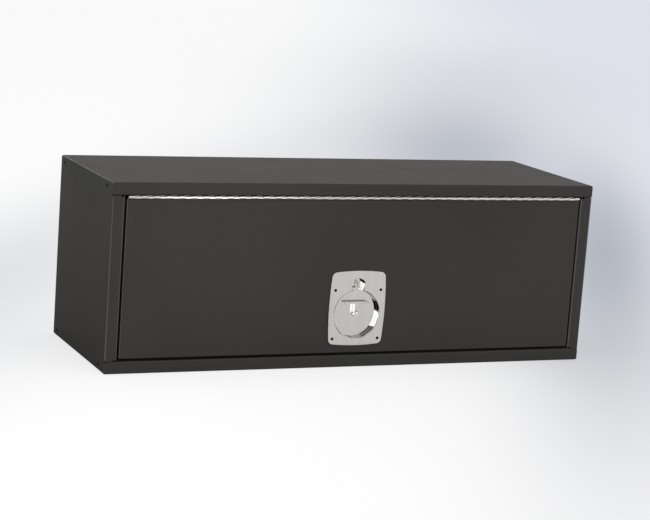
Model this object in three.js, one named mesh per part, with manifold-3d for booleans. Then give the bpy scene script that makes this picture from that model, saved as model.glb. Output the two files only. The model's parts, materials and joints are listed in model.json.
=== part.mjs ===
// Truck bed storage locker in bent sheet steel, with a lift-up door, a piano hinge,
// a dish latch with a folding T handle, and two gas struts.
// Millimetres. X runs along the locker, Y from the door to the back, Z up.
// The origin is the middle of the bottom face.

import * as THREE from "three";
import { mergeVertices } from "three/addons/utils/BufferGeometryUtils.js";
import Module from "manifold-3d";

const wasm = await Module();
wasm.setup();

// Overall size: 42 by 14 by 15 inches
const lockerWidth = 1066.8;
const lockerDepth = 355.6;
const lockerHeight = 381;

// Clearances
const gap = 0.3;
const cutMargin = 1;

// Body sheet and its bends
const bodySheet = 2;
const bendInside = 1;
const bendSteps = 3;
const cornerSteps = 3;

// Front frame: the lips that show, the returns behind them and the ledges for the seal
const frameLip = 25.4;
const lipCornerRadius = 4;
const depthEdgeRadius = 4;
const bendNotchHeight = 1.8;
const lipCornerSides = 24;
const headerLedge = 15;
const railLedge = 12;
const stileLedge = 12;
const reliefWidth = 8;
const reliefHeight = 3;

// Flanges that join the end panels to the body wrap
const endFlange = 14;
const endFlangeSetback = 8;

// Bolt holes in each end panel
const boltHoleDiameter = 9;
const boltHoleFromEdge = 12.7;
const boltHoleFromFront = 38.1;
const boltHoleFromBack = 25.4;
const boltHoleSides = 12;

// Door
const doorSheet = 1.5;
const doorPanDepth = 20;
const doorReturn = 15;
const doorSideGap = 4.1;
const doorBottomGap = 4.8;
const doorOpenAngle = THREE.MathUtils.degToRad(90);
const panelSheet = 1.5;
const panelInset = 1;

// Seal between the door and the ledges
const sealWidth = 7;
const sealDepth = 5.6;
const sealInset = 0.6;

// Piano hinge
const knuckleRadius = 3.175;
const knucklePitch = 12.7;
const knuckleSides = 6;
const leafSheet = 1.3;
const leafWidth = 15;
const leafEndInset = 1.4;
const hingeProud = 1.7;
const hingePinRadius = 1.2;

// Hinge rivets, spread evenly between the two end ones
const rivetCount = 5;
const rivetFromEnd = 50.8;
const rivetFromAxis = 9.5;
const rivetShankRadius = 1.9;
const rivetHeadRadius = 3.2;
const rivetHeadHeight = 0.9;
const rivetSides = 8;

// Latch plate: a flange with bowed edges, a round dish and a round lock recess above it
const latchCentreHeight = 111.5;
const latchSheet = 1.5;
const flangeHalfWidth = 62.5;
const flangeHalfHeight = 78;
const flangeRise = 12.9;
const flangeBow = 2.7;
const flangeCornerRadius = 11;
const flangeEdges = 4;
const flangeEdgeSteps = 4;
const dishRadius = 50;
const dishDepth = 12.7;
const dishLipRadius = 2;
const dishFloorRadius = 0.8;
const hollowFloorSteps = 2;
const dishSides = 40;
const lockRise = 59.8;
const recessRadius = 14.8;
const recessDepth = dishDepth;
const recessLipRadius = 1.2;
const recessSides = 20;

// What lies between the latch plate and the door, and behind the door skin
const gasketSheet = 0.8;
const gasketInset = 1.5;
const backingSheet = 2;
const backingInset = 3;
const skinHoleClearance = 1.5;

// Latch screws, on a 4 by 4 inch pattern round the dish
const screwPattern = 101.6;
const screwHeadRadius = 2.9;
const screwShankRadius = 2;
const screwRunout = 1.5;
const screwSides = 10;

// Spindle through the latch, with its bush, collar, cam, washer and nut
const spindleRadius = 5;
const spindleSides = 14;
const bushWall = 0.8;
const bushFlangeRadius = 9;
const bushFlangeDepth = 3.2;
const collarHalf = 10;
const collarDepth = 3;
const tongueHalfWidth = 1.8;
const tongueHalfHeight = 4.6;
const tongueBeforePin = 2.6;
const squareHalf = 3.5;
const camSheet = 3;
const camWidth = 16;
const camOverlap = 8;
const threadRadius = 3;
const washerRadius = 8;
const washerDepth = 1.5;
const nutCorners = 6;
const nutAcross = 11;
const nutDepth = 5;
const threadRunout = 1.5;

// T handle
const handleBelowFlange = 1.4;
const handleAboveFloor = 0.4;
const stemWidth = 9.3;
const stemBelowPin = 3;
const stemSlotAbovePin = 5;
const pinRise = 2;
const pinRadius = 1.5;
const pinShort = 0.3;
const gripTop = 25.8;
const gripHeight = 3.8;
const gripDepth = 8.4;
const gripLength = 54;
const gripEndRadius = 3.8;
const gripEndSteps = 4;

// Lock
const lockFlangeRadius = 8.2;
const lockFlangeDepth = 4.4;
const lockBarrelRadius = 6.5;
const lockBarrelDepth = 4.8;
const lockPlugRadius = 5;
const lockFaceRadius = 6.4;
const lockPlugProud = 1.5;
const keywayWidth = 1.8;
const keywayHeight = 7.5;
const keywayDepth = 6;
const lockNutAcross = 17;
const lockNutDepth = 2.4;
const tailStubRadius = 3;
const tailSheet = 1.6;
const tailWidth = 6;
const tailHubRadius = 5.5;
const tailNutRadius = 4.8;
const tailNutDepth = 2;
const lockSides = 16;

// Gas struts and what carries them
const tabFromEnd = 46.6;
const tabHeight = 14.1;
const tabCentreBelowTop = 75.25;
const tabBelowSkinFace = 0.2;
const bracketSheet = 2.5;
const doorStudFromFront = 36;
const doorFootWidth = 8;
const doorFootHeight = 30;
const doorFootSheet = 2;
const bodyStudFromFront = 250;
const bodyStudBelowTop = 181;
const bodyBracketHeight = 28;
const bodyBracketFoot = 24;
const bodyBracketWeb = 17;
const bodyBracketEar = 9;
const studRadius = 3;
const studHeadRadius = 4.8;
const studHeadDepth = 1.2;
const eyeThickness = 4;
const eyeRadius = 7.5;
const eyeNeckRadius = 5;
const eyeNeckStart = 9;
const eyeToBody = 16;
const rodRadius = 4;
const cylinderRadius = 9;
const cylinderWall = 1.2;
const cylinderLength = 150;
const cylinderEndWall = 3;
const glandDepth = 8;
const pistonDepth = 6;
const strutSides = 14;

// Places worked out from the sizes above
const frontY = -lockerDepth / 2;
const backY = lockerDepth / 2;
const endX = lockerWidth / 2;
const halfSheet = bodySheet / 2;
const headerBottom = lockerHeight - frameLip;
const railTop = frameLip;
const bendOutside = bendInside + bodySheet;
const panelFrontY = frontY + doorPanDepth + gap;
const panelBackY = panelFrontY + panelSheet;
const ledgeFrontY = panelBackY + gap + sealDepth + gap;
const ledgeMiddleY = ledgeFrontY + halfSheet;
const ledgeBackY = ledgeFrontY + bodySheet;
const stileInnerX = endX - frameLip;
const stileLedgeX = stileInnerX - stileLedge;

const hingeGap = 2 * (knuckleRadius + gap);
const hingeAxisY = frontY - hingeProud;
const hingeAxisZ = headerBottom - hingeGap / 2;
const doorHalfWidth = stileInnerX - doorSideGap;
const doorBottom = railTop + doorBottomGap;
const doorTop = headerBottom - hingeGap;

const latchFrontY = frontY - gap - gasketSheet - gap - latchSheet;
const tabCentreHeight = lockerHeight - tabCentreBelowTop;

// Materials
const finish = (color, roughness, metalness) =>
  new THREE.MeshStandardMaterial({ color, roughness, metalness });
const blackPowderCoat = finish(0x3a3936, 0.55, 0.1);
const polishedStainless = finish(0xc1c0bb, 0.12, 1);
const brightSteel = finish(0xd0cfca, 0.3, 1);
const zincSteel = finish(0xa9a9a2, 0.4, 1);
const darkScrew = finish(0x141414, 0.45, 0.6);
const sealRubber = finish(0x161616, 0.85, 0);
const strutBlack = finish(0x1b1b1c, 0.35, 0.3);
const lockBrass = finish(0xb8b6ae, 0.25, 1);

// Solids: every shape becomes one closed solid, so that shapes can be joined and cut
function solidOf(geometry) {
  const bare = geometry.index ? geometry.toNonIndexed() : geometry.clone();
  bare.deleteAttribute("normal");
  bare.deleteAttribute("uv");
  const merged = mergeVertices(bare);
  const positions = merged.attributes.position.array;
  const corners = merged.index.array;
  const triangles = [];
  for (let i = 0; i < corners.length; i += 3) {
    const [a, b, c] = [corners[i], corners[i + 1], corners[i + 2]];
    if (a !== b && b !== c && c !== a) triangles.push(a, b, c);
  }
  const vertProperties = Float32Array.from(positions);
  let triVerts = Uint32Array.from(triangles);
  if (signedVolume(vertProperties, triVerts) < 0) triVerts = triVerts.reverse();
  return new wasm.Manifold(new wasm.Mesh({ numProp: 3, vertProperties, triVerts }));
}

function signedVolume(positions, triangles) {
  const [a, b, c] = [new THREE.Vector3(), new THREE.Vector3(), new THREE.Vector3()];
  let total = 0;
  for (let i = 0; i < triangles.length; i += 3) {
    a.fromArray(positions, 3 * triangles[i]);
    b.fromArray(positions, 3 * triangles[i + 1]);
    c.fromArray(positions, 3 * triangles[i + 2]);
    total += a.dot(b.cross(c));
  }
  return total;
}

function geometryOf(solid) {
  const mesh = solid.getMesh();
  const geometry = new THREE.BufferGeometry();
  geometry.setAttribute("position", new THREE.BufferAttribute(mesh.vertProperties, 3));
  geometry.setIndex(new THREE.BufferAttribute(mesh.triVerts, 1));
  geometry.computeVertexNormals();
  return geometry;
}

const joined = (first, ...others) => others.reduce((whole, part) => whole.add(part), first);
const cut = (whole, ...cutters) => cutters.reduce((rest, cutter) => rest.subtract(cutter), whole);

// A block between two values along each axis, given in either order
function block(x, y, z) {
  const geometry = new THREE.BoxGeometry(
    Math.abs(x[1] - x[0]),
    Math.abs(y[1] - y[0]),
    Math.abs(z[1] - z[0]),
  );
  geometry.translate((x[0] + x[1]) / 2, (y[0] + y[1]) / 2, (z[0] + z[1]) / 2);
  return solidOf(geometry);
}

// An outline of [u, v] points pushed along one axis, from one value to another
function pushed(outline, from, to, basis, holes = []) {
  const shape = new THREE.Shape(outline.map(([u, v]) => new THREE.Vector2(u, v)));
  for (const hole of holes) {
    shape.holes.push(new THREE.Path(hole.map(([u, v]) => new THREE.Vector2(u, v))));
  }
  const geometry = new THREE.ExtrudeGeometry(shape, {
    depth: Math.abs(to - from),
    bevelEnabled: false,
  });
  geometry.applyMatrix4(new THREE.Matrix4().makeBasis(...basis));
  return geometry;
}

const axisX = new THREE.Vector3(1, 0, 0);
const axisY = new THREE.Vector3(0, 1, 0);
const axisZ = new THREE.Vector3(0, 0, 1);

// Outline in Y and Z, pushed along X
function alongX(outline, from, to, holes) {
  const geometry = pushed(outline, from, to, [axisY, axisZ, axisX], holes);
  geometry.translate(Math.min(from, to), 0, 0);
  return solidOf(geometry);
}

// Outline in X and Z, pushed along Y
function alongY(outline, from, to, holes) {
  const backwards = axisY.clone().negate();
  const geometry = pushed(outline, from, to, [axisX, axisZ, backwards], holes);
  geometry.translate(0, Math.max(from, to), 0);
  return solidOf(geometry);
}

// Outline in X and Y, pushed along Z
function alongZ(outline, from, to, holes) {
  const geometry = pushed(outline, from, to, [axisX, axisY, axisZ], holes);
  geometry.translate(0, 0, Math.min(from, to));
  return solidOf(geometry);
}

// A profile of [radius, distance] points turned round the X, Y or Z axis
function turned(profile, sides, axis = axisY) {
  const points = profile.map(([radius, along]) => new THREE.Vector2(radius, along));
  const geometry = new THREE.LatheGeometry(points, sides);
  if (axis === axisX) geometry.rotateZ(-Math.PI / 2);
  if (axis === axisZ) geometry.rotateX(Math.PI / 2);
  return solidOf(geometry);
}

const rod = (radius, from, to, sides, axis) =>
  turned([[0, from], [radius, from], [radius, to], [0, to]], sides, axis);

const tube = (inner, outer, from, to, sides, axis) =>
  turned([[inner, from], [outer, from], [outer, to], [inner, to], [inner, from]], sides, axis);

// Points of an arc round a centre, angles in radians
function arc(centre, radius, start, end, steps) {
  const points = [];
  for (let step = 0; step <= steps; step += 1) {
    const angle = start + ((end - start) * step) / steps;
    points.push([centre[0] + radius * Math.cos(angle), centre[1] + radius * Math.sin(angle)]);
  }
  return points;
}

function roundedRectangle(u, v, radius, steps = cornerSteps) {
  const quarter = Math.PI / 2;
  return [
    ...arc([u[1] - radius, v[1] - radius], radius, 0, quarter, steps),
    ...arc([u[0] + radius, v[1] - radius], radius, quarter, 2 * quarter, steps),
    ...arc([u[0] + radius, v[0] + radius], radius, 2 * quarter, 3 * quarter, steps),
    ...arc([u[1] - radius, v[0] + radius], radius, 3 * quarter, 4 * quarter, steps),
  ];
}

// Outline of a sheet bent at each inner corner of its middle line
function bentSheet(corners, sheet, inside) {
  const bendRadius = inside + sheet / 2;
  const path = corners.map(([u, v]) => new THREE.Vector2(u, v));
  const oneSide = [];
  const otherSide = [];
  const put = (point, direction) => {
    const normal = new THREE.Vector2(-direction.y, direction.x);
    const shift = normal.multiplyScalar(sheet / 2);
    oneSide.push([point.x + shift.x, point.y + shift.y]);
    otherSide.unshift([point.x - shift.x, point.y - shift.y]);
  };
  const last = path.length - 1;
  put(path[0], path[1].clone().sub(path[0]).normalize());
  for (let i = 1; i < last; i += 1) {
    const before = path[i].clone().sub(path[i - 1]).normalize();
    const after = path[i + 1].clone().sub(path[i]).normalize();
    const turn = Math.atan2(before.cross(after), before.dot(after));
    const trim = bendRadius * Math.tan(Math.abs(turn) / 2);
    const start = path[i].clone().addScaledVector(before, -trim);
    const side = Math.sign(turn);
    const toCentre = new THREE.Vector2(-before.y, before.x).multiplyScalar(side * bendRadius);
    const centre = start.clone().add(toCentre);
    for (let step = 0; step <= bendSteps; step += 1) {
      const angle = (turn * step) / bendSteps;
      const spoke = toCentre.clone().negate().rotateAround(new THREE.Vector2(), angle);
      put(centre.clone().add(spoke), before.clone().rotateAround(new THREE.Vector2(), angle));
    }
  }
  put(path[last], path[last].clone().sub(path[last - 1]).normalize());
  return [...oneSide, ...otherSide];
}

// The model is nested groups of named meshes
const locker = new THREE.Group();

function addPiece(parent, name, solid, material) {
  const mesh = new THREE.Mesh(geometryOf(solid), material);
  mesh.name = name;
  parent.add(mesh);
}

function addGroup(parent, x, y, z) {
  const group = new THREE.Group();
  group.position.set(x, y, z);
  parent.add(group);
  return group;
}

const sides = [
  { name: "left", sign: -1 },
  { name: "right", sign: 1 },
];

// Body wrap: one sheet bent into header, top, back, bottom and rail
function roundedEdge(sign, edgeZ, inward, radius, backOfCut) {
  const centre = [sign * (endX - radius), edgeZ + inward * radius];
  const out = sign * (endX + cutMargin);
  const towards = edgeZ - inward * cutMargin;
  const square = block([centre[0], out], [frontY - cutMargin, backOfCut], [centre[1], towards]);
  const round = rod(
    radius,
    frontY - 2 * cutMargin,
    backOfCut + cutMargin,
    lipCornerSides,
  ).translate([centre[0], 0, centre[1]]);
  return square.subtract(round);
}

function lipCorner(sign, edgeZ, inward) {
  return roundedEdge(sign, edgeZ, inward, lipCornerRadius, frontY + bodySheet + gap / 2);
}

// The long edges from front to back, where the end panels meet the top and the bottom
function depthEdges(sign) {
  return [
    roundedEdge(sign, lockerHeight, -1, depthEdgeRadius, backY + cutMargin),
    roundedEdge(sign, 0, 1, depthEdgeRadius, backY + cutMargin),
  ];
}

function bodyWrap() {
  const section = bentSheet(
    [
      [ledgeMiddleY, headerBottom - headerLedge],
      [ledgeMiddleY, headerBottom + halfSheet],
      [frontY + halfSheet, headerBottom + halfSheet],
      [frontY + halfSheet, lockerHeight - halfSheet],
      [backY - halfSheet, lockerHeight - halfSheet],
      [backY - halfSheet, halfSheet],
      [frontY + halfSheet, halfSheet],
      [frontY + halfSheet, railTop - halfSheet],
      [ledgeMiddleY, railTop - halfSheet],
      [ledgeMiddleY, railTop + railLedge],
    ],
    bodySheet,
    bendInside,
  );
  let wrap = alongX(section, -endX, endX);
  const behindLip = [frontY + bodySheet, ledgeBackY + cutMargin];
  const ledge = [ledgeFrontY - bendInside, ledgeBackY + cutMargin];
  for (const { sign } of sides) {
    const beyondEndPanel = [sign * (endX - bodySheet - gap), sign * (endX + cutMargin)];
    const beyondStileLedge = [sign * (stileLedgeX - gap), sign * (endX + cutMargin)];
    wrap = cut(
      wrap,
      block(beyondEndPanel, behindLip, [headerBottom - cutMargin, headerBottom + bendOutside]),
      block(beyondEndPanel, behindLip, [railTop + cutMargin, railTop - bendOutside]),
      block(beyondStileLedge, ledge, [headerBottom - headerLedge - cutMargin, headerBottom]),
      block(beyondStileLedge, ledge, [railTop + railLedge + cutMargin, railTop]),
      lipCorner(sign, headerBottom, 1),
      lipCorner(sign, railTop, -1),
      ...depthEdges(sign),
    );
  }
  for (const column of rivetColumns) {
    wrap = cut(wrap, rivetHole(column, headerBottom - cutMargin, headerBottom + bendOutside));
  }
  return wrap;
}

// End panel: a pan with flanges on three sides and the stile on the fourth
function endPanel(sign) {
  const across = (distance) => sign * (endX - distance);
  const bottom = bodySheet + gap;
  const top = lockerHeight - bodySheet - gap;
  const back = backY - bodySheet - gap;
  const stileSection = bentSheet(
    [
      [across(halfSheet), frontY + 2 * bendOutside],
      [across(halfSheet), frontY + halfSheet],
      [across(frameLip - halfSheet), frontY + halfSheet],
      [across(frameLip - halfSheet), ledgeMiddleY],
      [across(frameLip + stileLedge), ledgeMiddleY],
    ],
    bodySheet,
    bendInside,
  );
  const plateX = [across(0), across(bodySheet)];
  const frontEdge = [frontY + bodySheet + gap, frontY + 2 * bendOutside];
  const flangeX = [across(halfSheet), across(endFlange)];
  const flangeY = [frontY + endFlangeSetback, back - endFlangeSetback];
  let panel = joined(
    block(plateX, [frontY + bendOutside, back], [bottom, top]),
    block(plateX, frontEdge, [bottom + bendInside, top - bendInside]),
    alongZ(stileSection, railTop + gap, headerBottom - gap),
    block(flangeX, flangeY, [top - bodySheet, top]),
    block(flangeX, flangeY, [bottom, bottom + bodySheet]),
    block(flangeX, [back - bodySheet, back], [bottom + endFlangeSetback, top - endFlangeSetback]),
  );
  const reliefX = [across(frameLip + cutMargin), across(frameLip - reliefWidth)];
  const reliefY = [frontY - cutMargin, frontY + bendOutside];
  const notchX = [across(-cutMargin), across(bendOutside)];
  const notchY = [frontY - cutMargin, frontY + 2 * bendOutside];
  panel = cut(
    panel,
    block(reliefX, reliefY, [railTop, railTop + reliefHeight]),
    block(reliefX, reliefY, [headerBottom - reliefHeight, headerBottom]),
    block(notchX, notchY, [railTop, railTop + bendNotchHeight]),
    block(notchX, notchY, [headerBottom - bendNotchHeight, headerBottom]),
    ...depthEdges(sign),
  );
  const hole = rod(boltHoleDiameter / 2, -cutMargin, bodySheet + cutMargin, boltHoleSides, axisX);
  const fromPlate = sign > 0 ? endX - bodySheet : -endX;
  for (const y of [frontY + boltHoleFromFront, backY - boltHoleFromBack]) {
    for (const z of [boltHoleFromEdge, lockerHeight - boltHoleFromEdge]) {
      panel = panel.subtract(hole.translate([fromPlate, y, z]));
    }
  }
  return panel;
}

// Seal: a rectangular ring on the ledges
function doorSeal() {
  const innerX = stileLedgeX + sealInset;
  const innerBottom = railTop + railLedge - sealInset - sealWidth;
  const innerTop = headerBottom - headerLedge + sealInset + sealWidth;
  const depth = [ledgeFrontY - gap - sealDepth, ledgeFrontY - gap];
  const outerX = innerX + sealWidth;
  const outer = block([-outerX, outerX], depth, [innerBottom, innerTop]);
  const throughSeal = [depth[0] - cutMargin, depth[1] + cutMargin];
  const inner = block(
    [-innerX, innerX],
    throughSeal,
    [innerBottom + sealWidth, innerTop - sealWidth],
  );
  return outer.subtract(inner);
}

// Hinge leaf about the hinge axis: up is 1 for the frame leaf and -1 for the door leaf
const flatDistance = knuckleRadius * Math.cos(Math.PI / knuckleSides);
const boreRadius = (flatDistance - leafSheet) / Math.cos(Math.PI / knuckleSides);
const knuckleCount = Math.floor((2 * (doorHalfWidth - leafEndInset)) / knucklePitch);
const hingeHalfLength = (knuckleCount * knucklePitch) / 2;
const rivetPitch = (2 * (hingeHalfLength - rivetFromEnd)) / (rivetCount - 1);
const rivetColumns = Array.from(
  { length: rivetCount },
  (_, index) => (index - (rivetCount - 1) / 2) * rivetPitch,
);

function knuckleOutline(radius) {
  const first = Math.PI / knuckleSides;
  const points = arc([0, 0], radius, first, first + 2 * Math.PI, knuckleSides);
  return points.slice(0, knuckleSides);
}

function hingeLeaf(up, firstKnuckle) {
  const ends = [-hingeHalfLength + gap / 2, hingeHalfLength - gap / 2];
  const plateFrom = knuckleRadius + gap;
  const plateZ = [up * (flatDistance - leafSheet), up * flatDistance];
  let leaf = joined(
    alongX(knuckleOutline(knuckleRadius), ...ends),
    block(ends, [0, leafWidth], plateZ),
  );
  leaf = leaf.subtract(alongX(knuckleOutline(boreRadius), ends[0] - cutMargin, ends[1] + cutMargin));
  const around = [-knuckleRadius - cutMargin, plateFrom];
  for (let index = firstKnuckle; index < knuckleCount; index += 2) {
    const start = -hingeHalfLength + index * knucklePitch;
    const cutX = [start - gap / 2, start + knucklePitch + gap / 2];
    leaf = leaf.subtract(block(cutX, around, [-2 * knuckleRadius, 2 * knuckleRadius]));
  }
  for (const column of rivetColumns) {
    const hole = rod(
      rivetShankRadius + gap,
      -2 * knuckleRadius,
      2 * knuckleRadius,
      rivetSides,
      axisZ,
    );
    leaf = leaf.subtract(hole.translate([column, rivetFromAxis, 0]));
  }
  return leaf;
}

// Hole for a rivet in the header return or the door's top flange
function rivetHole(column, from, to) {
  const hole = rod(rivetShankRadius + gap, from, to, rivetSides, axisZ);
  return hole.translate([column, hingeAxisY + rivetFromAxis, 0]);
}

// Rivet through a leaf and a sheet, about the hinge axis
function hingeRivet(up, sheet) {
  const underLeaf = flatDistance - leafSheet - gap;
  const beyondSheet = hingeGap / 2 + sheet + gap;
  const profile = [
    [0, underLeaf - rivetHeadHeight],
    [rivetHeadRadius, underLeaf - rivetHeadHeight],
    [rivetHeadRadius, underLeaf],
    [rivetShankRadius, underLeaf],
    [rivetShankRadius, beyondSheet],
    [rivetHeadRadius, beyondSheet],
    [rivetHeadRadius, beyondSheet + rivetHeadHeight],
    [0, beyondSheet + rivetHeadHeight],
  ];
  return turned(profile.map(([radius, along]) => [radius, up * along]), rivetSides, axisZ);
}

// Holes that the latch needs in the sheets behind its flange, as an X and Z outline each
const screwHoleRadius = screwShankRadius + gap;
const dishHoleRadius = dishRadius + latchSheet + skinHoleClearance;
const recessHoleRadius = recessRadius + latchSheet + skinHoleClearance;
const screwPlaces = [-1, 1].flatMap((side) =>
  [-1, 1].map((level) => [(side * screwPattern) / 2, (level * screwPattern) / 2]),
);

function latchOpenings(from, to) {
  const dish = rod(dishHoleRadius, from, to, dishSides);
  const recess = rod(recessHoleRadius, from, to, recessSides).translate([0, 0, lockRise]);
  const screws = screwPlaces.map(([x, z]) =>
    rod(screwHoleRadius, from, to, screwSides).translate([x, 0, z]),
  );
  return [dish, recess, ...screws];
}

// Door skin: a pan with rounded front corners and a return flange
function doorSkin() {
  const x = [-doorHalfWidth, doorHalfWidth];
  const y = [frontY, frontY + doorPanDepth];
  const z = [doorBottom, doorTop];
  const radius = doorSheet + bendInside;
  let skin = alongY(roundedRectangle(x, z, radius), ...y);
  skin = skin.intersect(alongX(roundedRectangle(y, z, radius), ...x));
  skin = skin.intersect(alongZ(roundedRectangle(x, y, radius), ...z));
  const grown = (range, amount) => [range[0] - amount, range[1] + amount];
  skin = cut(
    skin,
    block(grown(x, -doorSheet), grown(y, -doorSheet), grown(z, -doorSheet)),
    block(grown(x, -doorReturn), [y[0] + doorPanDepth / 2, y[1] + cutMargin], grown(z, -doorReturn)),
  );
  const front = [frontY - cutMargin, frontY + doorSheet + cutMargin];
  const openings = latchOpenings(...front).map((hole) =>
    hole.translate([0, 0, latchCentreHeight]),
  );
  skin = cut(skin, ...openings);
  for (const { sign } of sides) skin = skin.subtract(tabSlot(sign, ...front));
  for (const column of rivetColumns) {
    skin = skin.subtract(rivetHole(column, doorTop - doorSheet - cutMargin, doorTop + cutMargin));
  }
  return skin;
}

// Slot that a strut bracket's tab passes through
const tabX = endX - tabFromEnd;

function tabSlot(sign, from, to) {
  const half = bracketSheet / 2 + gap;
  const reach = tabHeight / 2 + gap;
  return block(
    [sign * tabX - half, sign * tabX + half],
    [from, to],
    [tabCentreHeight - reach, tabCentreHeight + reach],
  );
}

function doorInnerPanel() {
  const x = [-doorHalfWidth + panelInset, doorHalfWidth - panelInset];
  const z = [doorBottom + panelInset, doorTop - panelInset];
  const through = [panelFrontY - cutMargin, panelBackY + cutMargin];
  const spindleHole = rod(spindleRadius + cutMargin, ...through, spindleSides);
  let panel = alongY(roundedRectangle(x, z, bendInside), panelFrontY, panelBackY);
  panel = panel.subtract(spindleHole.translate([0, 0, latchCentreHeight]));
  for (const { sign } of sides) panel = panel.subtract(tabSlot(sign, ...through));
  return panel;
}

// Latch, about the dish centre on the flange's front face, with Y running inwards
const dishFloorBack = dishDepth + latchSheet;
const gasketFront = latchSheet + gap;
const skinBack = gasketFront + gasketSheet + gap + doorSheet;
const panelFront = panelFrontY - latchFrontY;

function flangeOutline(inset) {
  const halfWidth = flangeHalfWidth - flangeBow - inset;
  const halfHeight = flangeHalfHeight - flangeBow - inset;
  const radius = flangeCornerRadius - inset;
  const straightWidth = halfWidth - radius;
  const straightHeight = halfHeight - radius;
  const bow = (share) => flangeBow * (1 - share * share);
  const outline = [];
  for (let edge = 0; edge < flangeEdges; edge += 1) {
    const angle = (edge * 2 * Math.PI) / flangeEdges;
    const level = edge % 2 === 0;
    const run = level ? straightHeight : straightWidth;
    const reach = level ? halfWidth : halfHeight;
    const turnPoint = ([u, v]) => [
      u * Math.cos(angle) - v * Math.sin(angle),
      u * Math.sin(angle) + v * Math.cos(angle) + flangeRise,
    ];
    for (let step = 1; step < flangeEdgeSteps; step += 1) {
      const share = (2 * step) / flangeEdgeSteps - 1;
      outline.push(turnPoint([reach + bow(share), run * share]));
    }
    const corner = arc([reach - radius, run], radius, 0, Math.PI / 2, cornerSteps);
    outline.push(...corner.map(turnPoint));
  }
  return outline;
}

// Cutter for a round hollow with a rolled lip and a small floor radius
function hollow(radius, depth, lipRadius, floorRadius, count) {
  const quarter = Math.PI / 2;
  const lip = arc([radius + lipRadius, lipRadius], lipRadius, -quarter, -2 * quarter, cornerSteps);
  const floorCentre = [radius - floorRadius, depth - floorRadius];
  const floor = arc(floorCentre, floorRadius, 0, quarter, hollowFloorSteps);
  return turned(
    [[0, -cutMargin], [radius + lipRadius, -cutMargin], ...lip, ...floor, [0, depth]],
    count,
  );
}

function latchPlate() {
  const up = (solid) => solid.translate([0, 0, lockRise]);
  let plate = joined(
    alongY(flangeOutline(0), 0, latchSheet),
    rod(dishRadius + latchSheet, 0, dishFloorBack, dishSides),
    up(rod(recessRadius + latchSheet, 0, recessDepth + latchSheet, recessSides)),
  );
  plate = cut(
    plate,
    hollow(dishRadius, dishDepth, dishLipRadius, dishFloorRadius, dishSides),
    up(hollow(recessRadius, recessDepth, recessLipRadius, gap, recessSides)),
    rod(spindleRadius + gap + bushWall + gap, 0, dishFloorBack + cutMargin, spindleSides),
    up(rod(lockBarrelRadius + gap, 0, dishFloorBack + cutMargin, lockSides)),
  );
  const countersink = turned(
    [
      [0, -cutMargin],
      [screwHeadRadius + gap, -cutMargin],
      [screwHeadRadius + gap, 0],
      [screwHoleRadius, latchSheet],
      [screwHoleRadius, latchSheet + cutMargin],
      [0, latchSheet + cutMargin],
    ],
    screwSides,
  );
  return cut(plate, ...screwPlaces.map(([x, z]) => countersink.translate([x, 0, z])));
}

function latchGasket() {
  const sheet = alongY(flangeOutline(gasketInset), gasketFront, gasketFront + gasketSheet);
  return cut(sheet, ...latchOpenings(0, gasketFront + gasketSheet + cutMargin));
}

function latchBackingPlate() {
  const from = skinBack + gap;
  const sheet = alongY(flangeOutline(backingInset), from, from + backingSheet);
  return cut(sheet, ...latchOpenings(0, from + backingSheet + cutMargin));
}

function latchScrew() {
  const end = skinBack + gap + backingSheet + screwRunout;
  return turned(
    [
      [0, 0],
      [screwHeadRadius, 0],
      [screwShankRadius, latchSheet],
      [screwShankRadius, end],
      [0, end],
    ],
    screwSides,
  );
}

// Depths along the spindle
const bushFlangeFront = dishFloorBack + gap;
const collarFront = bushFlangeFront + bushFlangeDepth + gap;
const camFront = ledgeBackY + gap - latchFrontY;
const camBack = camFront + camSheet;
const washerFront = camBack + gap;
const nutFront = washerFront + washerDepth + gap;
const spindleEnd = nutFront + nutDepth + threadRunout;
const pinDepth = (handleBelowFlange + dishDepth - handleAboveFloor) / 2;

function spindleBush() {
  const inner = spindleRadius + gap;
  const outer = inner + bushWall;
  const flangeBack = bushFlangeFront + bushFlangeDepth;
  return turned(
    [
      [inner, dishDepth],
      [outer, dishDepth],
      [outer, bushFlangeFront],
      [bushFlangeRadius, bushFlangeFront],
      [bushFlangeRadius, flangeBack],
      [inner, flangeBack],
      [inner, dishDepth],
    ],
    spindleSides,
  );
}

function spindle() {
  const tongueX = [-tongueHalfWidth, tongueHalfWidth];
  const tongueZ = [-tongueHalfHeight, tongueHalfHeight];
  const square = [-squareHalf, squareHalf];
  const shaftEnd = camFront - gap;
  const body = joined(
    block(tongueX, [pinDepth - tongueBeforePin, dishDepth + cutMargin], tongueZ),
    rod(spindleRadius, dishDepth, shaftEnd, spindleSides),
    block(square, [shaftEnd - cutMargin, camBack], square),
    rod(threadRadius, camBack - cutMargin, spindleEnd, spindleSides),
  );
  return body.subtract(crossPin(pinRadius + gap, spindleRadius));
}

const crossPin = (radius, half) =>
  rod(radius, -half, half, screwSides, axisX).translate([0, pinDepth, pinRise]);

function lockingCollar() {
  const square = block(
    [-collarHalf, collarHalf],
    [collarFront, collarFront + collarDepth],
    [-collarHalf, collarHalf],
  );
  return square.subtract(rod(spindleRadius + gap, 0, camFront, spindleSides));
}

// Cam arm: at rest it points to the right, clear of the rail ledge
function camArm() {
  const reach = latchCentreHeight - railTop - railLedge + camOverlap;
  const half = camWidth / 2;
  const squareHole = squareHalf + gap;
  const outline = [
    ...arc([0, 0], half, Math.PI / 2, (3 * Math.PI) / 2, 2 * cornerSteps),
    [reach - half / 2, -half],
    [reach, -half / 2],
    [reach, half / 2],
    [reach - half / 2, half],
  ];
  const plate = alongY(outline, camFront, camBack);
  const hole = block(
    [-squareHole, squareHole],
    [camFront - cutMargin, camBack + cutMargin],
    [-squareHole, squareHole],
  );
  return plate.subtract(hole);
}

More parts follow.
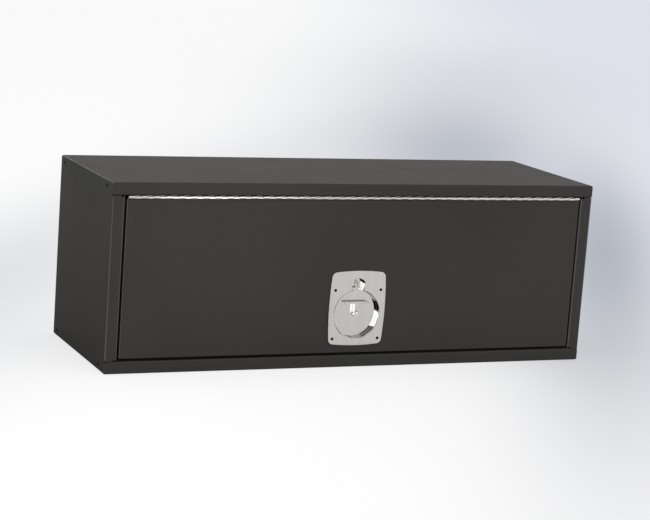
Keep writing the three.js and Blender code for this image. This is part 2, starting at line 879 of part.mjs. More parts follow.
const hexOutline = (across) => {
  const radius = across / 2 / Math.cos(Math.PI / nutCorners);
  return arc([0, 0], radius, 0, 2 * Math.PI, nutCorners).slice(0, nutCorners);
};

function hexNut(across, bore, from, to, boreSides) {
  const body = alongY(hexOutline(across), from, to);
  return body.subtract(rod(bore, from - cutMargin, to + cutMargin, boreSides));
}

// T handle, folded up: a forked stem and a flat grip bar with round ends
function tHandle() {
  const front = handleBelowFlange - pinDepth;
  const back = dishDepth - handleAboveFloor - pinDepth;
  const cornerAngle = Math.asin(stemBelowPin / back);
  const stemTop = gripTop - gripHeight / 2 - pinRise;
  const stemSection = [
    [front, -stemBelowPin],
    ...arc([0, 0], back, -cornerAngle, 0, cornerSteps),
    [back, stemTop - gripHeight],
    [0, stemTop],
    [front, stemTop],
  ].map(([y, z]) => [y + pinDepth, z + pinRise]);
  const stem = alongX(stemSection, -stemWidth / 2, stemWidth / 2);
  const slotHalf = tongueHalfWidth + gap;
  const slot = block(
    [-slotHalf, slotHalf],
    [0, dishDepth],
    [pinRise - 2 * stemBelowPin, pinRise + stemSlotAbovePin],
  );
  const grip = alongZ(
    roundedRectangle(
      [-gripLength / 2, gripLength / 2],
      [handleBelowFlange, handleBelowFlange + gripDepth],
      gripEndRadius,
      gripEndSteps,
    ),
    gripTop - gripHeight,
    gripTop,
  );
  return cut(stem, slot, crossPin(pinRadius + gap, stemWidth)).add(grip);
}

// Lock, about its own axis on the flange's front face
const lockFlangeFront = recessDepth - gap - lockFlangeDepth;
const lockPlugFront = lockFlangeFront - lockPlugProud;
const lockBarrelEnd = lockFlangeFront + lockFlangeDepth + lockBarrelDepth;
const lockNutFront = dishFloorBack + gap;
const tailFront = collarFront + (collarDepth - tailSheet) / 2;
const tailNutFront = tailFront + tailSheet + gap;

function lockBody() {
  const bore = lockPlugRadius + gap;
  const flangeBack = lockFlangeFront + lockFlangeDepth;
  return turned(
    [
      [bore, lockFlangeFront],
      [lockFlangeRadius, lockFlangeFront],
      [lockFlangeRadius, flangeBack],
      [lockBarrelRadius, flangeBack],
      [lockBarrelRadius, lockBarrelEnd],
      [bore, lockBarrelEnd],
      [bore, lockFlangeFront],
    ],
    lockSides,
  );
}

function lockPlug() {
  const stubEnd = tailNutFront + tailNutDepth + gap;
  const plug = turned(
    [
      [0, lockPlugFront],
      [lockFaceRadius, lockPlugFront],
      [lockFaceRadius, lockFlangeFront - gap],
      [lockPlugRadius, lockFlangeFront - gap],
      [lockPlugRadius, lockBarrelEnd],
      [tailStubRadius, lockBarrelEnd],
      [tailStubRadius, stubEnd],
      [0, stubEnd],
    ],
    lockSides,
  );
  const keyway = block(
    [-keywayWidth / 2, keywayWidth / 2],
    [lockPlugFront - cutMargin, lockPlugFront + keywayDepth],
    [-keywayHeight / 2, keywayHeight / 2],
  );
  return plug.subtract(keyway);
}

// Tailpiece: at rest it points to the right; turned down, it blocks the square collar
function lockTailpiece() {
  const tip = lockRise - collarHalf - gap;
  const half = tailWidth / 2;
  const arm = block([0, tip], [tailFront, tailFront + tailSheet], [-half, half]);
  const hub = rod(tailHubRadius, tailFront, tailFront + tailSheet, lockSides);
  return hub.add(arm).subtract(rod(tailStubRadius + gap, 0, 2 * tailFront, lockSides));
}

// Gas strut, along its own Y axis from the door stud to the body stud
const strutX = tabX - bracketSheet / 2 - gap - eyeThickness / 2;
const doorStud = new THREE.Vector2(frontY + doorStudFromFront, tabCentreHeight);
const bodyStudHeight = lockerHeight - bodyStudBelowTop;
const bodyStud = new THREE.Vector2(frontY + bodyStudFromFront, bodyStudHeight);
const hingeAxis = new THREE.Vector2(hingeAxisY, hingeAxisZ);
const openDoorStud = doorStud.clone().rotateAround(hingeAxis, -doorOpenAngle);
const closedLength = doorStud.distanceTo(bodyStud);
const strutStroke = openDoorStud.distanceTo(bodyStud) - closedLength;
const strutDirection = bodyStud.clone().sub(doorStud);
const cylinderEnd = closedLength - eyeToBody;
const cylinderStart = cylinderEnd - cylinderLength;
const boreOfCylinder = cylinderRadius - cylinderWall;
const pistonEnd = cylinderStart + strutStroke + glandDepth + pistonDepth + 2 * gap;

// Eye with its neck pointing along plus Y
function strutEye() {
  const flat = [-eyeThickness / 2, eyeThickness / 2];
  const ring = rod(eyeRadius, ...flat, strutSides, axisX);
  const tongue = block(flat, [0, eyeNeckStart + cutMargin], [-eyeNeckRadius, eyeNeckRadius]);
  const neck = rod(eyeNeckRadius, eyeNeckStart, eyeToBody - gap, strutSides);
  const bore = rod(studRadius + gap, -eyeThickness, eyeThickness, screwSides, axisX);
  return joined(ring, tongue, neck).subtract(bore);
}

function strutRod() {
  return turned(
    [
      [0, eyeToBody],
      [rodRadius, eyeToBody],
      [rodRadius, pistonEnd - pistonDepth],
      [boreOfCylinder - gap, pistonEnd - pistonDepth],
      [boreOfCylinder - gap, pistonEnd],
      [0, pistonEnd],
    ],
    strutSides,
  );
}

function strutCylinder() {
  return turned(
    [
      [boreOfCylinder, cylinderStart],
      [cylinderRadius, cylinderStart],
      [cylinderRadius, cylinderEnd],
      [0, cylinderEnd],
      [0, cylinderEnd - cylinderEndWall],
      [boreOfCylinder, cylinderEnd - cylinderEndWall],
      [boreOfCylinder, cylinderStart],
    ],
    strutSides,
  );
}

const strutGland = () =>
  tube(rodRadius + gap, boreOfCylinder - gap, cylinderStart, cylinderStart + glandDepth, strutSides);

// Door bracket: an ear whose tab passes through the inner panel and the skin, and a foot
function doorStrutBracket(sign) {
  const footFront = panelBackY + gap;
  const half = tabHeight / 2;
  const earOutline = [
    [frontY + tabBelowSkinFace, tabCentreHeight - half],
    [footFront, tabCentreHeight - half],
    [footFront, tabCentreHeight - doorFootHeight / 2],
    ...arc([doorStud.x, doorStud.y], eyeRadius, -Math.PI / 2, Math.PI / 2, 2 * cornerSteps),
    [footFront, tabCentreHeight + doorFootHeight / 2],
    [footFront, tabCentreHeight + half],
    [frontY + tabBelowSkinFace, tabCentreHeight + half],
  ];
  const inner = tabX - bracketSheet / 2;
  const outer = tabX + bracketSheet / 2;
  const ear = alongX(earOutline, sign * inner, sign * outer);
  const foot = block(
    [sign * inner, sign * (inner + doorFootWidth)],
    [footFront, footFront + doorFootSheet],
    [tabCentreHeight - doorFootHeight / 2, tabCentreHeight + doorFootHeight / 2],
  );
  const hole = rod(studRadius + gap, inner - cutMargin, outer + cutMargin, screwSides, axisX);
  const placed = sign > 0 ? hole : hole.mirror([1, 0, 0]);
  return ear.add(foot).subtract(placed.translate([0, doorStud.x, doorStud.y]));
}

// A stud across X: two heads and a shank between the given distances from the middle
function stud(sign, headFrom, headTo) {
  const profile = [
    [0, headFrom - studHeadDepth],
    [studHeadRadius, headFrom - studHeadDepth],
    [studHeadRadius, headFrom],
    [studRadius, headFrom],
    [studRadius, headTo],
    [studHeadRadius, headTo],
    [studHeadRadius, headTo + studHeadDepth],
    [0, headTo + studHeadDepth],
  ];
  return turned(profile.map(([radius, along]) => [radius, sign * along]), screwSides, axisX);
}

// Body bracket: foot on the end panel, web, and an ear clear of the cylinder
const bodyEarX = strutX + cylinderRadius + gap + bracketSheet / 2;

function bodyStrutBracket(sign) {
  const footX = endX - bodySheet - gap - bracketSheet / 2;
  const webY = bodyStud.x + bodyBracketWeb;
  const section = bentSheet(
    [
      [sign * footX, webY + bodyBracketFoot],
      [sign * footX, webY],
      [sign * bodyEarX, webY],
      [sign * bodyEarX, bodyStud.x - bodyBracketEar],
    ],
    bracketSheet,
    bendInside,
  );
  const half = bodyBracketHeight / 2;
  const sheet = alongZ(section, bodyStud.y - half, bodyStud.y + half);
  const hole = rod(studRadius + gap, -bracketSheet, bracketSheet, screwSides, axisX);
  return sheet.subtract(hole.translate([sign * bodyEarX, bodyStud.x, bodyStud.y]));
}

// Body stud: its inner end stops beside the cylinder eye
function bodyStudPin(sign) {
  const inner = strutX + eyeThickness / 2 + gap;
  const earInner = bodyEarX - bracketSheet / 2 - gap;
  const earOuter = bodyEarX + bracketSheet / 2 + gap;
  const profile = [
    [0, inner],
    [studRadius, inner],
    [studRadius, earInner - studHeadDepth],
    [studHeadRadius, earInner - studHeadDepth],
    [studHeadRadius, earInner],
    [studRadius, earInner],
    [studRadius, earOuter],
    [studHeadRadius, earOuter],
    [studHeadRadius, earOuter + studHeadDepth],
    [0, earOuter + studHeadDepth],
  ];
  return turned(profile.map(([radius, along]) => [radius, sign * along]), screwSides, axisX);
}

// Assembly
function buildBody() {
  addPiece(locker, "body_wrap", bodyWrap(), blackPowderCoat);
  addPiece(locker, "door_seal", doorSeal(), sealRubber);
  for (const { name, sign } of sides) {
    addPiece(locker, `${name}_end_panel`, endPanel(sign), blackPowderCoat);
    addPiece(locker, `${name}_strut_body_bracket`, bodyStrutBracket(sign), zincSteel);
    const place = addGroup(locker, 0, bodyStud.x, bodyStud.y);
    addPiece(place, `${name}_strut_body_stud`, bodyStudPin(sign), zincSteel);
  }
}

function buildDoor() {
  addPiece(locker, "door_skin", doorSkin(), blackPowderCoat);
  addPiece(locker, "door_inner_panel", doorInnerPanel(), blackPowderCoat);
  const eyeSide = strutX - eyeThickness / 2 - gap;
  const earSide = tabX + bracketSheet / 2 + gap;
  for (const { name, sign } of sides) {
    addPiece(locker, `${name}_strut_door_bracket`, doorStrutBracket(sign), zincSteel);
    const place = addGroup(locker, 0, doorStud.x, doorStud.y);
    addPiece(place, `${name}_strut_door_stud`, stud(sign, eyeSide, earSide), zincSteel);
  }
}

function buildHinge() {
  const hinge = addGroup(locker, 0, hingeAxisY, hingeAxisZ);
  addPiece(hinge, "hinge_frame_leaf", hingeLeaf(1, 1), brightSteel);
  addPiece(hinge, "hinge_door_leaf", hingeLeaf(-1, 0), brightSteel);
  const pin = alongX(knuckleOutline(hingePinRadius), -hingeHalfLength, hingeHalfLength);
  addPiece(hinge, "hinge_pin", pin, brightSteel);
  rivetColumns.forEach((column, index) => {
    const place = addGroup(hinge, column, rivetFromAxis, 0);
    addPiece(place, `hinge_frame_rivet_${index + 1}`, hingeRivet(1, bodySheet), zincSteel);
    addPiece(place, `hinge_door_rivet_${index + 1}`, hingeRivet(-1, doorSheet), zincSteel);
  });
}

function buildLatch() {
  const latch = addGroup(locker, 0, latchFrontY, latchCentreHeight);
  addPiece(latch, "latch_plate", latchPlate(), polishedStainless);
  addPiece(latch, "latch_gasket", latchGasket(), sealRubber);
  addPiece(latch, "latch_backing_plate", latchBackingPlate(), zincSteel);
  screwPlaces.forEach(([x, z], index) => {
    const place = addGroup(latch, x, 0, z);
    addPiece(place, `latch_screw_${index + 1}`, latchScrew(), darkScrew);
  });
  addPiece(latch, "spindle_bush", spindleBush(), zincSteel);
  addPiece(latch, "spindle", spindle(), polishedStainless);
  addPiece(latch, "handle_pin", crossPin(pinRadius, stemWidth / 2 - pinShort), brightSteel);
  addPiece(latch, "t_handle", tHandle(), polishedStainless);
  addPiece(latch, "locking_collar", lockingCollar(), zincSteel);
  addPiece(latch, "cam_arm", camArm(), zincSteel);
  const washerBore = threadRadius + gap;
  const washer = tube(washerBore, washerRadius, washerFront, washerFront + washerDepth, lockSides);
  addPiece(latch, "cam_washer", washer, zincSteel);
  const nut = hexNut(nutAcross, washerBore, nutFront, nutFront + nutDepth, spindleSides);
  addPiece(latch, "cam_nut", nut, zincSteel);
}

function buildLock() {
  const lock = addGroup(locker, 0, latchFrontY, latchCentreHeight + lockRise);
  addPiece(lock, "lock_body", lockBody(), lockBrass);
  addPiece(lock, "lock_plug", lockPlug(), lockBrass);
  addPiece(lock, "lock_tailpiece", lockTailpiece(), zincSteel);
  const nutEnd = lockNutFront + lockNutDepth;
  const nut = hexNut(lockNutAcross, lockBarrelRadius + gap, lockNutFront, nutEnd, lockSides);
  addPiece(lock, "lock_nut", nut, zincSteel);
  const tailNut = tube(
    tailStubRadius + gap,
    tailNutRadius,
    tailNutFront,
    tailNutFront + tailNutDepth,
    screwSides,
  );
  addPiece(lock, "tailpiece_nut", tailNut, zincSteel);
}

function buildStruts() {
  for (const { name, sign } of sides) {
    const strut = addGroup(locker, sign * strutX, doorStud.x, doorStud.y);
    strut.rotation.x = strutDirection.angle();
    addPiece(strut, `${name}_strut_rod_eye`, strutEye(), strutBlack);
    addPiece(strut, `${name}_strut_rod`, strutRod(), brightSteel);
    addPiece(strut, `${name}_strut_gland`, strutGland(), strutBlack);
    addPiece(strut, `${name}_strut_cylinder`, strutCylinder(), strutBlack);
    const farEye = strutEye().mirror([0, 1, 0]).translate([0, closedLength, 0]);
    addPiece(strut, `${name}_strut_cylinder_eye`, farEye, strutBlack);
  }
}

buildBody();
buildDoor();
buildHinge();
buildLatch();
buildLock();
buildStruts();

export default locker;
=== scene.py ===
"""Looks of the truck bed storage locker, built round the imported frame.

Metres and the frame's own axes: X runs along the locker, Y from the door to the back, Z up.
Every piece keeps its place in its mesh and rides on a body of the frame.
"""

import json
import math

import bmesh
import bpy
from bpy.props import FloatProperty, FloatVectorProperty, IntProperty, PointerProperty
from mathutils import Matrix, Vector


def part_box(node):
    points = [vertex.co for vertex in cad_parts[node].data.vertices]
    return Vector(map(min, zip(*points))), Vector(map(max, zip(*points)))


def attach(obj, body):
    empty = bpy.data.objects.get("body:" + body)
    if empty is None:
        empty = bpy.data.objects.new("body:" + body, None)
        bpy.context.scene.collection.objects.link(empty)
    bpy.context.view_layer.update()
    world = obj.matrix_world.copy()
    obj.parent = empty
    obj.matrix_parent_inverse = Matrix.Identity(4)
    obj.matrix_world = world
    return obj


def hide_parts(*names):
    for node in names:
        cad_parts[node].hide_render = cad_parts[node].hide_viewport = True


bl_info = {
    "name": "Truck Bed Storage Locker",
    "version": (1, 0, 0),
    "blender": (4, 5, 0),
    "location": "3D View > Sidebar > Locker",
    "description": "Dresses the packed locker with its sheet steel, hinge, latch and struts",
    "category": "Object",
}

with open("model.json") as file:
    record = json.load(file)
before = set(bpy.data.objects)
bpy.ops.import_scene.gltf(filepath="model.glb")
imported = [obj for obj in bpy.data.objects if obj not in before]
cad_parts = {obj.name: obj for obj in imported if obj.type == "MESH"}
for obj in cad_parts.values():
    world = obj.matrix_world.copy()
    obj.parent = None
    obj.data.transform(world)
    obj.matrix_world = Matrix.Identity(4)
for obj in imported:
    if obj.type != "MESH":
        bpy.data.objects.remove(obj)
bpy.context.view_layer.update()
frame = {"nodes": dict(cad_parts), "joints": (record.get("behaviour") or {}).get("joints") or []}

MM = 0.001
TINY = 1e-7
SIDES = (("left", -1), ("right", 1))
RIVETS_PER_LEAF = 5
LATCH_SCREWS = 4

# The photograph's viewpoint, solved from the locker's corners
CAMERA_SPOT = (-1.71344, -3.83375, 0.96863)
CAMERA_TURN = (79.4544, -4.0942, -23.3374)
CAMERA_LENS = 111.48
CAMERA_SENSOR = 36

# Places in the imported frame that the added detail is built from
PLATE_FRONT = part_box("latch_plate")[0].y
WRAP_LOW, WRAP_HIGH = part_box("body_wrap")
JOINTS = {joint["name"]: joint for joint in frame["joints"]}
HINGE_AXIS = Vector(JOINTS["door_lift"]["pos_m"])
LATCH_CENTRE = Vector(JOINTS["spindle_turn"]["pos_m"])
LOCK_CENTRE = Vector(JOINTS["lock_turn"]["pos_m"])
HANDLE_PIN = Vector(JOINTS["handle_fold"]["pos_m"])


def length(name, default, description):
    """A size that a user can change, in metres."""
    return FloatProperty(
        name=name, default=default, description=description, unit="LENGTH", min=0, precision=5
    )


def share(name, default, description):
    """A value from 0 to 1 that a user can change."""
    return FloatProperty(
        name=name, default=default, description=description, subtype="FACTOR", min=0, max=1
    )


def power(name, default, description):
    """The power of a light that a user can change, in watts."""
    return FloatProperty(name=name, default=default, description=description, unit="POWER", min=0)


def strength(name, default, description):
    """The strength of a glow that a user can change."""
    return FloatProperty(name=name, default=default, description=description, min=0)


def paint(name, default, description):
    """A colour that a user can change, linear."""
    return FloatVectorProperty(
        name=name,
        default=default,
        description=description,
        subtype="COLOR",
        size=3,
        min=0,
        max=1,
    )


class LockerSizes(bpy.types.PropertyGroup):
    """Sizes of the detail that is added to the frame."""

    body_sheet: length("Body sheet", 2 * MM, "Thickness of the body's sheet")
    sheet_edge: length("Sheet edge", 0.8 * MM, "Rounding of the cut edges of coated sheet")
    door_edge: length("Door edge", 0.45 * MM, "Rounding of the edges of the door's thinner sheet")
    small_edge: length("Small edge", 0.35 * MM, "Rounding of the edges of small fittings")
    depth_edge: length("Depth edge", 4 * MM, "Radius of the long edges from front to back")
    seam_half: length("Seam half width", 0.9 * MM, "Half the width of a dressed weld seam")
    seam_proud: length("Seam proud", 0.15 * MM, "How far a dressed weld seam stands proud")
    seam_root: length("Seam root", 0.3 * MM, "How far a dressed weld seam reaches into the sheet")
    seal_edge: length("Seal edge", 2.2 * MM, "Rounding of the foam seal")

    knuckle_count: IntProperty(
        name="Knuckles", default=79, min=3, description="Knuckles along the piano hinge"
    )
    knuckle_pitch: length("Knuckle pitch", 12.7 * MM, "Distance from knuckle to knuckle")
    knuckle_radius: length("Knuckle radius", 3.175 * MM, "Outer radius of a rolled knuckle")
    curl: length("Knuckle curl", 0.75 * MM, "How far a knuckle draws in as it is rolled")
    leaf_sheet: length("Leaf sheet", 1.1 * MM, "Thickness of the hinge leaves")
    leaf_width: length("Leaf width", 15 * MM, "From the hinge axis to the leaf's far edge")
    clearance: length("Clearance", 0.3 * MM, "Gap between pieces that nearly touch")
    knuckle_edge: length("Knuckle edge", 0.3 * MM, "Rounding of the knuckles' ends")
    pin_radius: length("Pin radius", 1.25 * MM, "Radius of the hinge pin")
    rivet_shank: length("Rivet shank", 1.9 * MM, "Radius of a hinge rivet's shank")
    rivet_head: length("Rivet head", 0.9 * MM, "Height of a hinge rivet's head")

    plate_sheet: length("Latch sheet", 1.5 * MM, "Thickness of the pressed latch plate")
    plate_half_width: length("Latch half width", 62.5 * MM, "Half the width of the latch plate")
    plate_half_height: length("Latch half height", 78 * MM, "Half the height of the latch plate")
    plate_rise: length("Latch rise", 12.9 * MM, "Plate middle above the dish middle")
    plate_bow: length("Latch bow", 2.7 * MM, "How far the plate's edges bow outwards")
    plate_corner: length("Latch corner", 11 * MM, "Corner radius of the latch plate")
    plate_edge: length("Latch edge", 0.3 * MM, "Rounding of the latch plate's front edge")
    dish_radius: length("Dish radius", 50 * MM, "Radius of the round dish")
    dish_depth: length("Dish depth", 12.7 * MM, "Depth of the round dish")
    dish_lip: length("Dish lip", 2 * MM, "Radius of the rolled lip of the dish")
    dish_floor: length("Dish floor radius", 0.4 * MM, "Radius where wall and floor meet")
    recess_radius: length("Recess radius", 14.8 * MM, "Radius of the lock recess")
    recess_depth: length("Recess depth", 12.6 * MM, "Depth of the lock recess")
    recess_lip: length("Recess lip", 1.2 * MM, "Radius of the rolled lip of the recess")
    recess_floor: length("Recess floor radius", 0.4 * MM, "Radius at the foot of the recess")
    cup_edge: length("Cup edge", 2.2 * MM, "Rear radius of the dish and of the recess")
    spindle_hole: length("Spindle hole", 6.4 * MM, "Radius of the hole in the dish")
    lock_hole: length("Lock hole", 6.8 * MM, "Radius of the hole in the recess")
    screw_pattern: length("Screw pattern", 101.6 * MM, "Distance between the latch screws")
    screw_head: length("Screw head", 2.9 * MM, "Radius of a latch screw's head")
    screw_shank: length("Screw shank", 2 * MM, "Radius of a latch screw's shank")
    screw_pitch: length("Screw pitch", 0.7 * MM, "Distance from thread ridge to thread ridge")
    screw_thread: length("Screw thread", 0.28 * MM, "Depth of a latch screw's thread")
    socket_radius: length("Socket radius", 1.45 * MM, "Radius across the corners of the hex socket")
    socket_depth: length("Socket depth", 1.25 * MM, "Depth of the hex socket")

    stem_width: length("Stem width", 9.3 * MM, "Width of the handle's stem")
    grip_depth: length("Grip depth", 8.4 * MM, "Front to back size of the handle's grip bar")
    grip_height: length("Grip height", 3.8 * MM, "Height of the handle's grip bar")
    grip_length: length("Grip length", 54 * MM, "Length of the handle's grip bar")
    grip_end: length("Grip end", 3.8 * MM, "Radius of the grip bar's ends, seen from above")
    grip_rise: length("Grip rise", 25.8 * MM, "Top of the grip above the dish middle")
    grip_edge: length("Grip edge", 0.35 * MM, "Rounding of the grip bar's long edges")
    stem_edge: length("Stem edge", 0.5 * MM, "Rounding of the stem's edges")
    fork_half: length("Fork half width", 2.1 * MM, "Half the width of the slot in the stem's foot")
    fork_bore: length("Fork bore", 1.8 * MM, "Radius of the hole for the handle's pin")

    lock_flange: length("Lock flange", 8.2 * MM, "Radius of the lock body's flange")
    lock_flange_sheet: length("Lock flange height", 4.4 * MM, "Height of the lock body's flange")
    lock_barrel: length("Lock barrel", 6.5 * MM, "Radius of the lock body behind its flange")
    lock_bore: length("Lock bore", 5.3 * MM, "Radius of the lock body's bore")
    plug_face: length("Plug face", 6.4 * MM, "Radius of the lock plug's face")
    plug_radius: length("Plug radius", 5 * MM, "Radius of the lock plug in its barrel")
    plug_tail: length("Plug tail", 3 * MM, "Radius of the lock plug's tail")
    keyway_half_width: length("Keyway half width", 0.9 * MM, "Half the width of the keyway")
    keyway_half_height: length("Keyway half height", 3.75 * MM, "Half the height of the keyway")
    keyway_depth: length("Keyway depth", 6 * MM, "Depth of the keyway")

    cylinder_radius: length("Cylinder radius", 9 * MM, "Outer radius of a gas strut")
    cylinder_wall: length("Cylinder wall", 1.2 * MM, "Wall of a gas strut's cylinder")
    cylinder_length: length("Cylinder length", 150 * MM, "Length of a gas strut's cylinder")
    rod_radius: length("Rod radius", 4 * MM, "Radius of a gas strut's rod")
    piston_length: length("Piston length", 6 * MM, "Length of a gas strut's piston")
    piston_play: length("Piston play", 0.3 * MM, "Gap round a gas strut's piston")
    eye_reach: length("Eye reach", 16 * MM, "From a stud's middle to the end of the strut's eye")
    eye_radius: length("Eye radius", 7.5 * MM, "Outer radius of a strut's eye")
    eye_half: length("Eye half thickness", 2 * MM, "Half the thickness of a strut's eye")
    eye_bore: length("Eye bore", 3.3 * MM, "Radius of the hole in a strut's eye")
    eye_neck: length("Eye neck", 5 * MM, "Radius of the neck behind a strut's eye")


class LockerFinishes(bpy.types.PropertyGroup):
    """Colours and gloss of the finishes."""

    powder: paint("Powder coat", (0.043, 0.0412, 0.0382), "Black powder coat")
    powder_gloss: share("Powder roughness", 0.46, "Roughness of the powder coat")
    stainless: paint("Stainless", (0.75, 0.741, 0.712), "Polished stainless steel")
    hinge: paint("Hinge steel", (0.86, 0.855, 0.82), "Bright hinge steel")
    zinc: paint("Zinc", (0.42, 0.42, 0.4), "Zinc plated steel")
    rubber: paint("Rubber", (0.012, 0.012, 0.012), "Foam rubber and gasket")
    screw: paint("Screw", (0.004, 0.004, 0.004), "Black oxide screw")
    lock: paint("Lock", (0.74, 0.73, 0.7), "Plated lock parts")
    strut: paint("Strut", (0.014, 0.014, 0.015), "Gloss black strut tube")
    fitting: paint("Fitting", (0.02, 0.02, 0.02), "Black moulded fitting")
    chrome: paint("Chrome", (0.62, 0.62, 0.62), "Hard chromed rod")


class LockerStage(bpy.types.PropertyGroup):
    """Floor, light and the glow of the mirrored cards."""

    floor: paint("Floor", (0.8, 0.8, 0.8), "Pale floor")
    # Painted shade: the floor far behind is painted darker and cooler.
    painted_far_shade: paint("Far floor", (0.726, 0.753, 0.837), "Cool tint of the floor far behind")
    floor_radius: length("Floor radius", 40, "Radius of the round floor")
    room_light: strength("Room light", 0.52, "Strength of the even room light")
    card_light: strength("Card light", 2.0, "Glow of the white cards that the latch mirrors")
    key_light: power("Key light", 58, "Power of the large light in front")
    side_light: power("Side light", 9, "Power of the light on the left")
    top_light: power("Top light", 22, "Power of the light overhead")


# Mesh making


def place_at(point, turn=None):
    """Matrix that puts local shapes at a point, turned first."""
    return Matrix.Translation(point) @ (turn or Matrix.Identity(4))


ALONG_X = Matrix.Rotation(math.radians(-90), 4, "Z")
ALONG_Z = Matrix.Rotation(math.radians(90), 4, "X")


def arc(u, v, radius, start, end, steps):
    """Points of an arc, angles in degrees."""
    points = []
    for step in range(steps + 1):
        angle = math.radians(start + (end - start) * step / steps)
        points.append((u + radius * math.cos(angle), v + radius * math.sin(angle)))
    return points


def rounding(edge):
    """(inset, rise) steps of a rounded edge, from the face to the side."""
    turns = [math.radians(18 * step) for step in range(6)]
    return [(edge * (1 - math.sin(turn)), edge * (1 - math.cos(turn))) for turn in turns]


def turn_profile(shape, profile, steps, place, closed=False, ring=None):
    """Turns (radius, distance) points round the local Y axis.

    A closed profile joins its last point to its first. The ring function, if there is one,
    takes a point's index and an angle, and gives the share of the radius there.
    """
    rings = []
    for index, (radius, along) in enumerate(profile):
        if radius < TINY:
            rings.append([shape.verts.new(place @ Vector((0, along, 0)))])
            continue
        row = []
        for step in range(steps):
            angle = 2 * math.pi * step / steps
            out = radius * (ring(index, angle) if ring else 1)
            spoke = Vector((out * math.cos(angle), along, out * math.sin(angle)))
            row.append(shape.verts.new(place @ spoke))
        rings.append(row)
    following = rings[1:] + (rings[:1] if closed else [])
    for row, after in zip(rings, following):
        for step in range(steps):
            beyond = (step + 1) % steps
            if len(row) == 1 and len(after) == 1:
                continue
            if len(row) == 1:
                corners = (row[0], after[beyond], after[step])
            elif len(after) == 1:
                corners = (row[step], row[beyond], after[0])
            else:
                corners = (row[step], row[beyond], after[beyond], after[step])
            shape.faces.new(corners)


def stack_outlines(shape, outlines, place):
    """Joins outlines of equal count, each (points, distance along Y), with caps at both ends."""
    rows = [
        [shape.verts.new(place @ Vector((u, along, v))) for u, v in points]
        for points, along in outlines
    ]
    count = len(rows[0])
    for row, after in zip(rows, rows[1:]):
        for step in range(count):
            beyond = (step + 1) % count
            shape.faces.new((row[step], row[beyond], after[beyond], after[step]))
    shape.faces.new(rows[0])
    shape.faces.new(rows[-1])


def eased_block(shape, x, y, z, edge, place):
    """A block with rounded edges between two values along each axis."""
    centre = Vector(((x[0] + x[1]) / 2, (y[0] + y[1]) / 2, (z[0] + z[1]) / 2))
    size = Vector((abs(x[1] - x[0]), abs(y[1] - y[0]), abs(z[1] - z[0])))
    stretch = Matrix.Diagonal((size.x, size.y, size.z, 1))
    made = bmesh.ops.create_cube(
        shape, size=1, matrix=place @ Matrix.Translation(centre) @ stretch
    )
    edges = {e for v in made["verts"] for e in v.link_edges}
    bmesh.ops.bevel(
        shape,
        geom=list(edges),
        offset=edge,
        segments=2,
        affect="EDGES",
        profile=0.5,
        clamp_overlap=True,
    )


def middle_of(name):
    """The middle of a node's box."""
    low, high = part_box(name)
    return Vector(((low.x + high.x) / 2, (low.y + high.y) / 2, (low.z + high.z) / 2))


def rounded_outline(half_width, half_height, radius, steps):
    """Outline of a rectangle with rounded corners, about the origin."""
    u, v = half_width - radius, half_height - radius
    return (
        arc(u, v, radius, 0, 90, steps)
        + arc(-u, v, radius, 90, 180, steps)
        + arc(-u, -v, radius, 180, 270, steps)
        + arc(u, -v, radius, 270, 360, steps)
    )


def shade_by_angle(mesh, degrees):
    """Smooth shading, with the edges sharper than the angle kept sharp."""
    mesh.polygons.foreach_set("use_smooth", [True] * len(mesh.polygons))
    mesh.set_sharp_from_angle(angle=math.radians(degrees))


def mesh_of(name, shape):
    """A mesh from a shape, with its faces turned outwards."""
    bmesh.ops.remove_doubles(shape, verts=shape.verts, dist=TINY)
    bmesh.ops.recalc_face_normals(shape, faces=shape.faces)
    mesh = bpy.data.meshes.new(name)
    shape.to_mesh(mesh)
    shape.free()
    return mesh


def add_piece(name, mesh, finish, body, stands_for=(), crease=32):
    """Puts a mesh in the scene as a piece that rides on a body."""
    mesh.materials.clear()
    mesh.materials.append(finish)
    shade_by_angle(mesh, crease)
    piece = bpy.data.objects.new(name, mesh)
    bpy.context.scene.collection.objects.link(piece)
    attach(piece, body)
    if stands_for:
        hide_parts(*stands_for)
    return piece


def weigh_normals(piece):
    """Large flat faces keep flat shading where a bend begins."""
    modifier = piece.modifiers.new("Flat faces stay flat", "WEIGHTED_NORMAL")
    modifier.mode = "FACE_AREA"
    modifier.weight = 80
    modifier.keep_sharp = True


def combined(name, whole, steps):
    """Joins shapes to a whole or cuts them from it, in order. Steps are (operation, shape)."""
    objects = []
    for part_name, shape in [(name, whole)] + [("cutter", shape) for _, shape in steps]:
        part = bpy.data.objects.new(part_name, mesh_of(part_name, shape))
        bpy.context.scene.collection.objects.link(part)
        objects.append(part)
    base, others = objects[0], objects[1:]
    for (operation, _), other in zip(steps, others):
        modifier = base.modifiers.new(operation, "BOOLEAN")
        modifier.operation = operation
        modifier.solver = "EXACT"
        modifier.object = other
    evaluated = base.evaluated_get(bpy.context.evaluated_depsgraph_get())
    mesh = bpy.data.meshes.new_from_object(evaluated)
    mesh.name = name
    for part in objects:
        spent = part.data
        bpy.data.objects.remove(part)
        bpy.data.meshes.remove(spent)
    if not mesh.polygons:
        raise RuntimeError(f"{name} has no faces left after joining and cutting")
    return mesh


